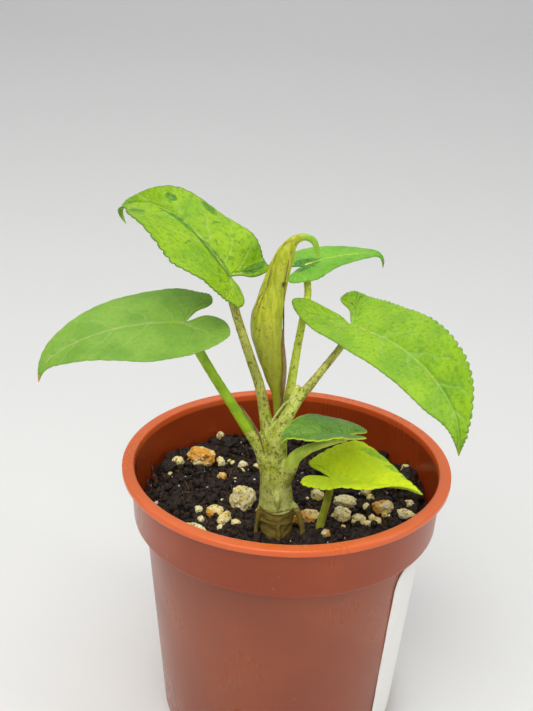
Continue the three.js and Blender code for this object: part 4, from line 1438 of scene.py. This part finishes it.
@dataclass
class FurledLeaf:
    """The newest leaf, still rolled round itself, with its dry brown margins."""

    finish: RollFinish = RollFinish()
    stations: tuple[tuple[float, float, float, float], ...] = (
        (-2.3, -11.8, 78.4, 0.65), (-2.3, -11.8, 80.4, 0.75), (-2.4, -11.8, 83, 1.05),
        (-2.9, -11.8, 86, 1.7), (-3.5, -11.8, 89.5, 2.3), (-4.2, -11.8, 92.8, 2.7),
        (-4.7, -11.8, 96, 3.05), (-4.7, -11.8, 98.8, 3.05), (-4.2, -11.8, 101.6, 2.65),
        (-3.4, -11.8, 105.4, 2.3), (-2.4, -12.2, 109.5, 1.95), (-1.4, -12.3, 112.3, 1.5),
        (-0.3, -12.4, 114.1, 0.85), (1.4, -12.6, 114.9, 0.65), (2.9, -12.8, 114.5, 0.6),
        (3.8, -13, 113, 0.5), (4, -13.2, 111.2, 0.25),
    )
    depth: float = 0.8
    step: float = 0.3
    start: float = -35
    sides: int = 65
    rings: int = 201
    crease: float = 55
    margins: tuple[Strand, ...] = (
        Strand(
            ((0.8, 114.6), (-0.6, 113), (-1.3, 110.1), (-1.8, 105.9), (-1.8, 100.7), (-1.6, 94.7),
             (-1.3, 90.5), (-1.5, 87.4), (-2, 84.6), (-2.3, 82.4)), -13.3, 0.13,
        ),
        Strand(
            ((-1.9, 97), (-1.6, 93.5), (-1.2, 90.2), (-1.1, 87.2), (-1.3, 84.4), (-1.6, 81.5), (-1.7, 79.2)),
            -13.2, 0.34, 0.16,
        ),
        Strand(
            ((-0.1, 114.6), (-2.2, 113.4), (-4, 110), (-5.1, 105.5), (-6.6, 102.5), (-7.5, 98.6)), -12.8, 0.08
        ),
        Strand(((-3.6, 111.0), (-4.7, 106.2), (-5.7, 103.4), (-6.9, 99.8)), -13, 0.06),
    )

    def skin(self) -> Skin:
        """Builds the roll.

        Returns:
            A closed surface.
        """
        rows = np.asarray(self.stations)
        route, share = Route(rows[:, :3], 60), np.linspace(0, 1, self.rings)
        knots = np.concatenate([[0], np.cumsum(np.linalg.norm(np.diff(rows[:, :3], axis=0), axis=1))])
        half = smoothed(np.interp(share * knots[-1], knots, rows[:, 3]), 9)
        ahead = route.ahead(share)
        front = unit(np.array([0.0, -1, 0]) + ahead * ahead[:, 1:2])
        about = np.linspace(0, 1, self.sides)
        turn, lip = (self.start + 360 * about) * DEG, np.exp(-(((1 - about) / 0.03) ** 2))
        radius = half[:, None] * (1 + self.step * (about - 0.35)) * (1 - 0.06 * lip)
        right, back = (radius * np.cos(turn))[..., None], (radius * self.depth * np.sin(turn))[..., None]
        out = (right * np.cross(ahead, front)[:, None] - back * front[:, None]).reshape(-1, 3)
        points = np.repeat(route.at(share), self.sides, axis=0) + out
        points = points + 0.09 * bumps(points, (0.9, 0.9, 0.22))[:, None] * unit(out)
        return Skin(points, lattice(self.rings, self.sides))

    def build(self) -> None:
        """Builds the rolled leaf and lays its dry margins on it."""
        roll = mesh_piece("furled_blade", self.skin(), self.finish.material())
        reshape(roll, "EDGE_SPLIT", split_angle=self.crease * DEG)
        dress(roll, Slot.OLIVE, "leaf_furled")
        skin = joined([strand.skin(roll, i + 5) for i, strand in enumerate(self.margins)])
        dress(mesh_piece("furled_margins", skin, DRY.material()), Slot.OLIVE, "leaf_furled")


# --------------------------------------------------------------------------- soil


@dataclass(frozen=True)
class Stone:
    """A grain that lies in the soil: place, size and turn, and whether it is rusty."""

    x: float
    y: float
    long: float
    deep: float
    tall: float
    turn: float = 0.0
    rusty: bool = False


@dataclass
class Soil:
    """The potting mix: a crumbly bed with fibres, bark, perlite, clods and pumice in it."""

    earth: EarthFinish = EarthFinish()
    fibre: EarthFinish = EarthFinish(
        "plant_fibre", *paints("7E5438 543826 A0764C"), 0.5, 0.7, 0.1
    )
    bark: EarthFinish = EarthFinish("bark", *paints("5C361E 3C2418 82522E"), 0.5, 0.7, 0.3)
    white: PumiceFinish = PumiceFinish("perlite_white", *paints("ECECE6 F8F8F6"), rusty=0.0, seed=3)
    cream: PumiceFinish = PumiceFinish("pumice_cream", rusty=0.25, seed=1)
    rusty: PumiceFinish = PumiceFinish("pumice_rusty", rusty=0.95, seed=2)
    pumice: tuple[Stone, ...] = tuple(Stone(*row) for row in (
        (-20, 15.6, 7, 5.4, 4.4, -10, True), (-24.8, 11, 2.9, 2.4, 2.4), (-15.4, 16, 2.2, 2.4, 2.6),
        (-10.1, 15.2, 2.3, 2.2, 2.2), (-14.6, 10.8, 2.3, 2, 2, 30), (-16.2, 25.4, 1.8, 2, 2.6),
        (-9.2, -1, 5.2, 5.6, 5.8, 40), (-14.8, -5.3, 3.9, 3, 2.6, 10, True),
        (-12.6, -8, 2.4, 4, 2.8, -30), (-10, -9.7, 2, 1.9, 1.9), (-18.6, -12.4, 5.4, 3, 2.2, -20),
        (-1.6, -21, 4.4, 2.4, 2.2), (4.6, -6.2, 7, 3.2, 3.4, 24, True), (7.1, 3.1, 3.1, 2.8, 2.6),
        (13.5, 1.6, 5.4, 3.4, 2.9, -15), (12.3, -5.2, 4, 4, 3.8), (16, -5.6, 3.3, 3, 2.6, 20),
        (18.9, -4.6, 1.8, 1.8, 1.8), (21.3, -1.8, 4.8, 3.6, 3.4, 10, True),
        (25.8, -3.6, 4.2, 2.6, 2, -10), (18, 5, 2.4, 2.4, 2.4), (27.2, 12, 2.2, 2, 2.6),
    ))
    clods: tuple[Stone, ...] = tuple(Stone(*row) for row in (
        (5.6, -14.9, 6.2, 4.4, 5.4, 15), (-5.4, -18.6, 4, 3.2, 2.6, -20), (-20.5, 20.5, 6, 4, 3.4, 40),
        (-14, 23.5, 5, 4, 3, 10), (24, 13.5, 6, 5, 4.2, 60), (19, 18, 5, 4, 3.2, 20),
        (-24, -3, 5, 4, 3, 80), (27, 8, 6, 4.6, 5, 70), (28.2, 2, 4.4, 3.6, 3.6, 20),
        (21.5, 19.4, 5, 4, 5, 40), (-27, 9, 4.6, 3.6, 4, 60), (-8, 27, 5, 4, 4, 0),
        (-26, -9, 4, 3.4, 3, 30), (-23.5, 16.5, 4.6, 4, 4.4, 30), (-17.5, 20, 4.2, 4, 3.6, 0),
        (-26.4, 13, 4, 3.4, 3.6, 55), (26.2, 5.2, 5, 4, 5.6, 75), (23.4, 10.5, 4.4, 3.6, 4, 15),
    ))
    slivers: tuple[Tube, ...] = tuple(
        Tube(points, (0.8, 0.65, 0.25)) for points in (
            ((-27.5, 4, 48), (-29.2, 5, 52), (-30.2, 6.4, 56)),
            ((-28.6, 1, 48), (-30, 1.6, 52), (-30.6, 2.4, 54.4)),
            ((27.6, 13, 48), (28.4, 14.6, 51.6), (28.2, 15.8, 55)),
        )
    )
    level: float = 50.3
    relief: float = 0.55
    crumb: float = 1.0
    bank: float = 1.1
    mound: float = 1.5
    heaps: tuple[tuple[float, float, float, float], ...] = (
        (26, 8, 2.8, 6), (-26, 12, 1.6, 6), (-13, 26, 1.2, 5), (1, 28, 0.8, 6),
    )
    radius: float = 31.25
    below: tuple[tuple[float, float], ...] = ((30.5625, 49.4), (29.2, 47.6), (25, 1.5), (0, 1.5))
    rings: int = 110
    sides: int = 260
    sunk: float = 0.18
    clod_sunk: float = 0.45
    edge: float = 30.8
    coarse: float = 0.4
    bit_small: float = 0.8
    bit_more: float = 1.3
    bits_rusty: float = 0.35
    crumbs: int = 3800
    fibres: int = 700
    perlite: int = 260
    bits: int = 46
    seed: int = 23

    def bed_top(self, x: float, y: float) -> float:
        """Finds how high the bed is, with its bank and heaps along the wall and its mound at the stem.

        Args:
            x: Place along X.
            y: Place along Y.

        Returns:
            The height there.
        """
        swell = math.sin(0.31 * x + 0.8) * math.cos(0.27 * y - 0.4) + 0.6 * math.sin(0.55 * x - 0.48 * y)
        bank = min(1.0, max(0.3, (y + 20) / 12)) * min(1.0, max(0.0, (math.hypot(x, y) - 20) / 8))
        mound = math.exp(-(((x + 1.5) / 6.5) ** 2) - ((y + 12.1) / 5) ** 2)
        height = self.level + self.relief * swell + self.bank * bank + self.mound * mound
        for to_x, to_y, high, wide in self.heaps:
            height += high * math.exp(-((x - to_x) ** 2 + (y - to_y) ** 2) / wide**2)
        return height

    def rough_top(self, x: float, y: float) -> float:
        """Finds how high the crumbly surface of the bed is.

        Args:
            x: Place along X.
            y: Place along Y.

        Returns:
            The height there.
        """
        spot = Vector((x, y, 0))
        lumps = noise.noise(spot * 0.35) + 0.6 * noise.noise(spot * 0.9 + Vector((9, 0, 0)))
        grains = noise.noise(spot * 2.3 + Vector((0, 5, 0))) + 0.5 * noise.noise(spot * 4.7)
        return self.bed_top(x, y) + self.crumb * (0.7 * lumps + 0.6 * grains)

    def bed(self) -> Skin:
        """Builds the bed, closed down to the pot's floor.

        Returns:
            A closed surface.
        """
        radii = self.radius * (np.arange(self.rings + 1) / self.rings) ** 0.85
        points, faces = turned([*((r, 0.0) for r in radii), *self.below], self.sides)
        for point in points[: 1 + self.rings * self.sides]:
            point[2] = self.rough_top(*point[:2])
        return Skin(points, [(face[0], *face[:0:-1]) for face in faces])

    def stone(self, stone: Stone, sunk: float, rough: float, seed: int, detail: int = 4) -> Skin:
        """Builds a rough grain.

        Args:
            stone: Its place and size.
            sunk: The share of its height that is in the soil.
            rough: How uneven it is, as a share of its size.
            seed: Which unevenness.
            detail: How finely it is built.

        Returns:
            A closed surface.
        """
        shift, half = Vector((seed * 3.7, seed * 1.3, 0)), Vector((stone.long, stone.deep, stone.tall)) / 2
        height = self.bed_top(stone.x, stone.y) + stone.tall * (0.5 - sunk)
        where = Matrix.Translation((stone.x, stone.y, height)) @ Matrix.Rotation(stone.turn * DEG, 4, "Z")
        points, (spots, faces) = [], ball(detail)
        for spot in map(Vector, spots):
            facets = noise.cell_vector(spot * 1.25 + shift)
            size = 1 + rough * (0.8 * noise.noise(spot * 1.3 + shift) + 0.5 * noise.noise(spot * 3.1 + shift))
            size += 0.1 * rough * (facets.x - 0.5)
            size -= 0.35 * rough * max(0.0, noise.noise(spot * 5.5 + shift) - 0.12)
            points.append(tuple(where @ (spot * half * size)))
        return Skin(np.array(points), faces)

    def stones(self, stones: tuple[Stone, ...], rusty: bool) -> Skin:
        """Builds the rusty stones, or those that aren't.

        Args:
            stones: All stones.
            rusty: Which of them.

        Returns:
            Closed surfaces.
        """
        skins = []
        for i, stone in enumerate(stones):
            if stone.rusty == rusty:
                detail = 5 if stone.long > 4 else 3 if stone.long < 1.9 else 4
                skins.append(self.stone(stone, self.sunk, 0.3, i + 1, detail))
        return joined(skins)

    def gravel(self) -> tuple[Stone, ...]:
        """Lays small pumice bits, half of them near the larger ones.

        Returns:
            The bits.
        """
        random = np.random.default_rng(self.seed + 5)
        bits = []
        for i in range(self.bits):
            size = self.bit_small + self.bit_more * random.random()
            if i % 2:
                near = self.pumice[int(random.integers(len(self.pumice)))]
                turn = random.random() * 6.28
                away = 0.5 * near.long + size * (0.4 + random.random())
                x, y = near.x + away * math.cos(turn), near.y + away * math.sin(turn)
            else:
                x, y = self.scattered(random, self.edge - 1.8)
            if math.hypot(x, y) < self.edge - 1.3:
                turn, rusty = 360 * random.random(), random.random() < self.bits_rusty
                bits.append(Stone(x, y, size, size * 0.85, size * 0.8, turn, rusty))
        return tuple(bits)

    @staticmethod
    def scattered(random: np.random.Generator, edge: float) -> tuple[float, float]:
        """A chance place on the bed, no further out than an edge."""
        radius, turn = edge * math.sqrt(random.random()), random.random() * ROUND
        return radius * math.cos(turn), radius * math.sin(turn)

    def grains(self, count: int, small: float, large: float, lift: float, seed: int) -> Skin:
        """Builds many small rough grains on the bed.

        Args:
            count: How many.
            small: Smallest size.
            large: Largest size.
            lift: How far they stand out, as a share of their size.
            seed: Which chance places they get.

        Returns:
            Closed surfaces.
        """
        random = np.random.default_rng(seed)
        skins, balls = [], (ball(1), ball(2))
        for _ in range(count):
            x, y = self.scattered(random, self.edge - 0.4)
            size = small + (large - small) * random.random() ** 2.2
            spots, faces = balls[size > self.coarse]
            dents = 1 + 0.28 * (random.random(len(spots)) - 0.5)
            shape = spots * dents[:, None] * (size * (0.65 + 0.7 * random.random(3)))
            spin = Matrix.Rotation(random.random() * 6.28, 3, Vector(random.random(3) - 0.5))
            skins.append(Skin(shape @ np.array(spin) + (x, y, self.rough_top(x, y) + lift * size), faces))
        return joined(skins)

    def strands(self) -> Skin:
        """Builds loose plant fibres on the bed.

        Returns:
            Closed surfaces.
        """
        random = np.random.default_rng(self.seed + 1)
        skins = []
        for _ in range(self.fibres):
            x, y = self.scattered(random, self.edge - 1.2)
            heading, run = random.random() * 6.28, 0.8 + 3.2 * random.random() ** 2
            points = []
            for _ in range(4):
                points.append((x, y, self.rough_top(x, y) + 0.1 + 0.5 * random.random()))
                heading += 1.1 * (random.random() - 0.5)
                x, y = x + run / 3 * math.cos(heading), y + run / 3 * math.sin(heading)
                if math.hypot(x, y) > self.edge:
                    break
            if len(points) > 2:
                thin = 0.05 + 0.09 * random.random()
                skins.append(Tube(tuple(points), (thin, thin, 0.04)).skin(8, 5))
        return joined(skins)

    def build(self) -> None:
        """Builds the bed and what lies in it."""
        clods = [self.stone(clod, self.clod_sunk, 0.45, 50 + i) for i, clod in enumerate(self.clods)]
        bark = [sliver.skin(30, 12, 0.35, i) for i, sliver in enumerate(self.slivers)]
        stones = self.pumice + self.gravel()
        for name, skin, finish in (
            ("soil_bed", self.bed(), self.earth),
            ("soil_clods", joined(clods), self.earth),
            ("soil_crumbs", self.grains(self.crumbs, 0.2, 1.05, 0.15, self.seed), self.earth),
            ("soil_fibres", self.strands(), self.fibre),
            ("bark_slivers", joined(bark), self.bark),
            ("perlite", self.grains(self.perlite, 0.16, 0.42, 0.45, self.seed + 2), self.white),
            ("pumice_cream", self.stones(stones, False), self.cream),
            ("pumice_rusty", self.stones(stones, True), self.rusty),
        ):
            dress(mesh_piece(name, skin, finish.material()), Slot.SOIL, "soil")


# --------------------------------------------------------------------------- studio


@dataclass
class Studio:
    """A pale sweep, soft lights and the camera."""

    finish: PlainFloor = PlainFloor()
    floor_front: float = -2.5
    floor_bend: float = 1.6
    bend_radius: float = 0.9
    floor_top: float = 3.0
    floor_half_width: float = 3.5
    rim_height: float = 62
    distance: float = 215.7
    elevation: float = 28.87
    yaw: float = 1.42
    pitch: float = 5.82
    roll: float = -2.70
    focal: float = 1000
    width: int = 533
    height: int = 711
    sensor: float = 36

    def sweep(self) -> None:
        """Builds the floor with its back curved up, in metres."""
        turn, half = np.linspace(0.05, math.pi / 2, 24), self.floor_half_width
        curve = zip(self.floor_bend + self.bend_radius * np.sin(turn), self.bend_radius * (1 - np.cos(turn)))
        front, back = (self.floor_front, 0), (self.floor_bend + self.bend_radius, self.floor_top)
        outline = [front, (self.floor_bend, 0), *curve, back]
        points = np.array([(x, y, z) for y, z in outline for x in (-half, half)]) / MM
        faces = [(i, i + 1, i + 3, i + 2) for i in range(0, len(points) - 2, 2)]
        floor = mesh_piece("floor", Skin(points, faces), self.finish.material())

    def lamp(
        self, name: str, place: Point, aim: Point, size: tuple[float, float], power: float, tint: Colour
    ) -> None:
        """Adds an area light.

        Args:
            name: Its name.
            place: Where it hangs, in metres.
            aim: What it points at, in metres.
            size: Its width and height, in metres.
            power: Its power, in watts.
            tint: Its colour.
        """
        light = bpy.data.lights.new(name, "AREA")
        light.shape, light.size, light.size_y = "RECTANGLE", *size
        light.energy, light.color = power, tint
        lamp = bpy.data.objects.new(name, light)
        lamp.location = place
        lamp.rotation_euler = (Vector(aim) - Vector(place)).to_track_quat("-Z", "Y").to_euler()
        bpy.context.collection.objects.link(lamp)

    def lights(self) -> None:
        """Lights the plant from above and the front, with a weak fill."""
        middle = (0.0, 0.0, 0.07)
        self.lamp("panel", (0, 0.9, 2.3), (0, 0.9, 0), (3.4, 3.4), 49.0, (0.98, 0.99, 1.0))
        self.lamp("key", (-0.16, -0.4, 0.68), middle, (0.75, 0.6), 5.4, (1.0, 0.985, 0.96))
        self.lamp("right", (0.55, -0.2, 0.22), middle, (0.1, 0.35), 0.7, (1.0, 1.0, 1.0))
        world = bpy.data.worlds.new("studio")
        world.use_nodes = True
        background = world.node_tree.nodes["Background"].inputs
        background[0].default_value, background[1].default_value = (0.93, 0.96, 1.0, 1), 0.16
        bpy.context.scene.world = world

    def camera(self) -> None:
        """Adds the camera that looks down at the plant from the front."""
        lean = self.elevation * DEG
        ahead = Vector((0, math.cos(lean), -math.sin(lean)))
        place = Vector((0, 0, self.rim_height)) - ahead * self.distance
        right = ahead.cross(Vector((0, 0, 1))).normalized()
        axes = [right, right.cross(ahead), ahead]
        for angle, axis in ((self.yaw, 1), (self.pitch, 0), (self.roll, 2)):
            turn = Matrix.Rotation(angle * DEG, 3, axes[axis])
            axes = [turn @ direction for direction in axes]
        matrix = Matrix((axes[0], axes[1], -axes[2])).transposed().to_4x4()
        matrix.translation = place * MM
        data = bpy.data.cameras.new("camera")
        data.sensor_width = self.sensor
        data.lens = self.focal / max(self.width, self.height) * self.sensor
        data.clip_start, data.clip_end = 0.005, 20
        camera = bpy.data.objects.new("camera", data)
        camera.matrix_world = matrix
        bpy.context.collection.objects.link(camera)
        bpy.context.scene.camera = camera


# --------------------------------------------------------------------------- build


LEAVES = (
    Leaf(
        "leaf_upper_left", Slot.LIME,
        LeafFinish(
            "blade_lime_blotched", *paints("94BA0C 74A50E 4A7E24 B0CE70 8BAA16 405F0D"),
            0.6, 0.95, 0.5, 0.8, seed=1,
            patches=((4, 0.4, 5.5, 1.1), (14, 0.5, 8, 0.8), (-1.2, -5.2, 1.0, 3.0), (13, -6.4, 2.2, 0.9),
                     (22, 4.5, 2.4, 1.0), (20, -3.0, 1.6, 0.8), (30, 2.2, 1.6, 0.8)),
        ),
        StalkFinish("petiole_mottled", *paints("C0C35B A2A844 605122"), 0.8, 0.53),
        (-12.2, -13.8, 107.5), 146, 46, 5, -35, 82, 56, 0.85, -6, 36.5, 0.17, 0.3, 1.25,
        Half(10.6, 7, 5, -0.15, 10, 0, -15, 0.87, -1.8, 0.11, 0.28),
        Half(8.6, 2.9, 7, 0.31, 25, 0, 2, 0.74, 2.5, 0.32, 0.1),
        Stalk(
            ((-3.2, -12.2, 70.3), (-4.4, -12.6, 77.3), (-5.8, -13.3, 84.8), (-7.5, -13.6, 90.1),
             (-9.9, -13.8, 97.4), (-12, -13.8, 104.4)),
            (1.5, 1.35, 1.05, 0.95, 0.9, 0.85, 0.8), 0.34,
        ),
        33, 3, 300,
    ),
    Leaf(
        "leaf_left", Slot.GREEN,
        LeafFinish(
            "blade_green_smooth", *paints("83AC3F 6B9A32 568732 B1C475 CE7C2E 6E8C2E"),
            0.12, 0.4, 0.45, 0.3, seed=2,
        ),
        StalkFinish("petiole_plain", *paints("A0C61E 85AC14 737722"), 0.3, 0.6, seed=2),
        (-20.2, -16.8, 98.7), 182, 0.5, -20, 4, 41, 20, 0.76, 9.7, 31.2, 0.18, 0.43, 1,
        Half(11, 9.1, 5.7, -0.4, 5.5, 1, -25, 0.8, -0.4, 0, 0.08),
        Half(10.1, 5.1, 6.6, 0.46, 10, 17, -12, 0.76, -0.8, 0, 0.08),
        Stalk(
            ((-3.2, -12.4, 63), (-4.8, -13, 70.5), (-8.2, -13.8, 76.4), (-12.9, -14.6, 84.4),
             (-17.3, -15.8, 92.6), (-19.6, -16.7, 97.4)),
            (1.6, 1.75, 1.25, 1, 0.95, 0.95, 0.9), 0.4,
        ),
    ),
    Leaf(
        "leaf_back", Slot.GREEN,
        LeafFinish(
            "blade_back", *paints("78B52D 62A029 40752B B4CA60 828D34 5A7B25"),
            0.3, 0.5, 0.4, 0.3, seed=3, patches=((0.5, 0, 3.4, 2),),
        ),
        StalkFinish("petiole_pale", *paints("D6E254 BED23E 756427"), 0.75, seed=3),
        (1.5, 4.7, 103.8), 26, 15, 14, -14, 16, 47, 0.75, -20, 19.1, 0.16, 0.4, 0.8,
        Half(6.2, 4.8, 3.2, 0.3, 4, 20, 10, 0.79, 0.3, 0, 0.08),
        Half(5.2, 4.6, 3, 0.2, 3, 20, 6, 0.76, 0.8, 0, 0.08),
        Stalk(
            ((-1.8, -11.4, 72), (-0.2, -9.6, 80.4), (1, -5.2, 88.7), (1.9, -2, 94), (2.8, 1.8, 98.6),
             (2.4, 4, 102.2)),
            (1.3, 1.1, 0.9, 0.8, 0.75, 0.75), 0.33,
        ),
        22,
    ),
    Leaf(
        "leaf_right", Slot.LIME,
        LeafFinish(
            "blade_lime_minty", *paints("90BA1A 74A41A 54882C A6CE80 8B9B2E 4A701E"),
            0.5, 0.95, 0.36, 0.6, seed=4,
        ),
        StalkFinish("petiole_spotted", *paints("C0C35B 9EA244 624921"), 0.85, 0.52, seed=4),
        (11.5, -7.3, 95.9), -45, 4.5, 2, 30, 32, 27, 0.76, -18, 41.2, 0.15, 0.55, 0.87,
        Half(9.3, 8.4, 7.8, 0.47, 25, 10, -6, 0.79, -0.9, 0.13, 0.3),
        Half(8.3, 11.7, 5.4, -0.4, 7, 10, -35, 0.81, 0, 0, 0.08),
        Stalk(
            ((-2.6, -13, 70.5), (-0.6, -13.5, 78), (2, -13, 82.9), (3.6, -12.5, 84.8), (6.6, -11, 88.6),
             (9.6, -9, 92.2), (11.3, -7.4, 94.8)),
            (1.5, 1.5, 1.3, 0.95, 0.75, 0.7, 0.7), 0.56,
        ),
        33, 4, 300,
    ),
    Leaf(
        "leaf_low", Slot.DARK,
        LeafFinish(
            "blade_dark", *paints("6C9A32 49772E 3E6632 A3B651 AFB035 BACD35"),
            0.5, 0.95, 0.3, 0.8, 0.34, seed=5,
        ),
        StalkFinish("petiole_thick", *paints("D0E25F B1CD47 837129"), 0.35, 0.62, seed=5),
        (11.5, -17.1, 77), 184, 8, 11, -23, 17, 38, 0.79, 6.6, 13.9, 0.16, 0.46, 1.25,
        Half(6, 3, 3.4, 0.15, 25, 32, -2, 0.8, 0.6, 0, 0.15),
        Half(7.1, 4.2, 3.2, 0.31, 25, 31, 10, 0.83, -0.2, 0, 0.1),
        Stalk(
            ((-1.2, -12.3, 61.5), (0.6, -13.6, 67), (1.7, -14.8, 70.5), (3.6, -15.8, 72.7), (6, -16.5, 74.3),
             (8.3, -16.9, 75.4), (10.6, -17, 76.3)),
            (1.6, 1.6, 1.45, 1.25, 0.95, 0.75, 0.65), 0.44,
        ),
        22,
    ),
    Leaf(
        "leaf_young", Slot.YELLOW,
        LeafFinish(
            "blade_yellow", *paints("DAF00E C0DE11 86B628 ECF446 CAD52E A0B71E"),
            0.12, 0.4, 0.3, 0.3, glow=0.3, seed=6,
            patches=((8.5, 7.4, 4.0, 1.2), (13.0, 4.8, 3.6, 1.2), (16.4, 2.6, 3.0, 1.1)),
        ),
        StalkFinish("petiole_young", *paints("D7E354 B5C83C A39636"), 0.25, 0.66, seed=6),
        (9.2, -13.6, 65.5), -14, 2.6, 10, -23, -10, 12.6, 0.68, -6.4, 18.8, 0.18, 0.32, 1.33,
        Half(8.8, 5.3, 3.3, 0.3, 28, 13, 0, 0.84, 0.9, 0, 0.1),
        Half(5.8, 5.2, 4.8, -0.06, 25, 21, -28, 0.79, 0.7, 0, 0.2),
        Stalk(
            ((7.2, -8.4, 47.5), (7.5, -9, 50.5), (8.4, -10.8, 56.9), (9, -12.6, 61.9), (9.2, -13.4, 64.7)),
            (0.9, 0.9, 0.8, 0.75, 0.7), 0.0,
        ),
        22,
    ),
)


def main() -> None:
    """Builds the whole plant in order."""
    logging.basicConfig(level=logging.INFO, format="%(name)s %(message)s")
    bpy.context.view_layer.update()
    pot, studio = Pot(), Studio()
    pot.build()
    pot.label()
    Soil().build()
    Stem().build([leaf.stalk for leaf in LEAVES])
    FurledLeaf().build()
    for leaf in LEAVES:
        leaf.build()
    studio.sweep()
    studio.lights()
    studio.camera()
    bpy.context.scene.view_settings.view_transform = "Standard"


if __name__ == "__main__":
    main()
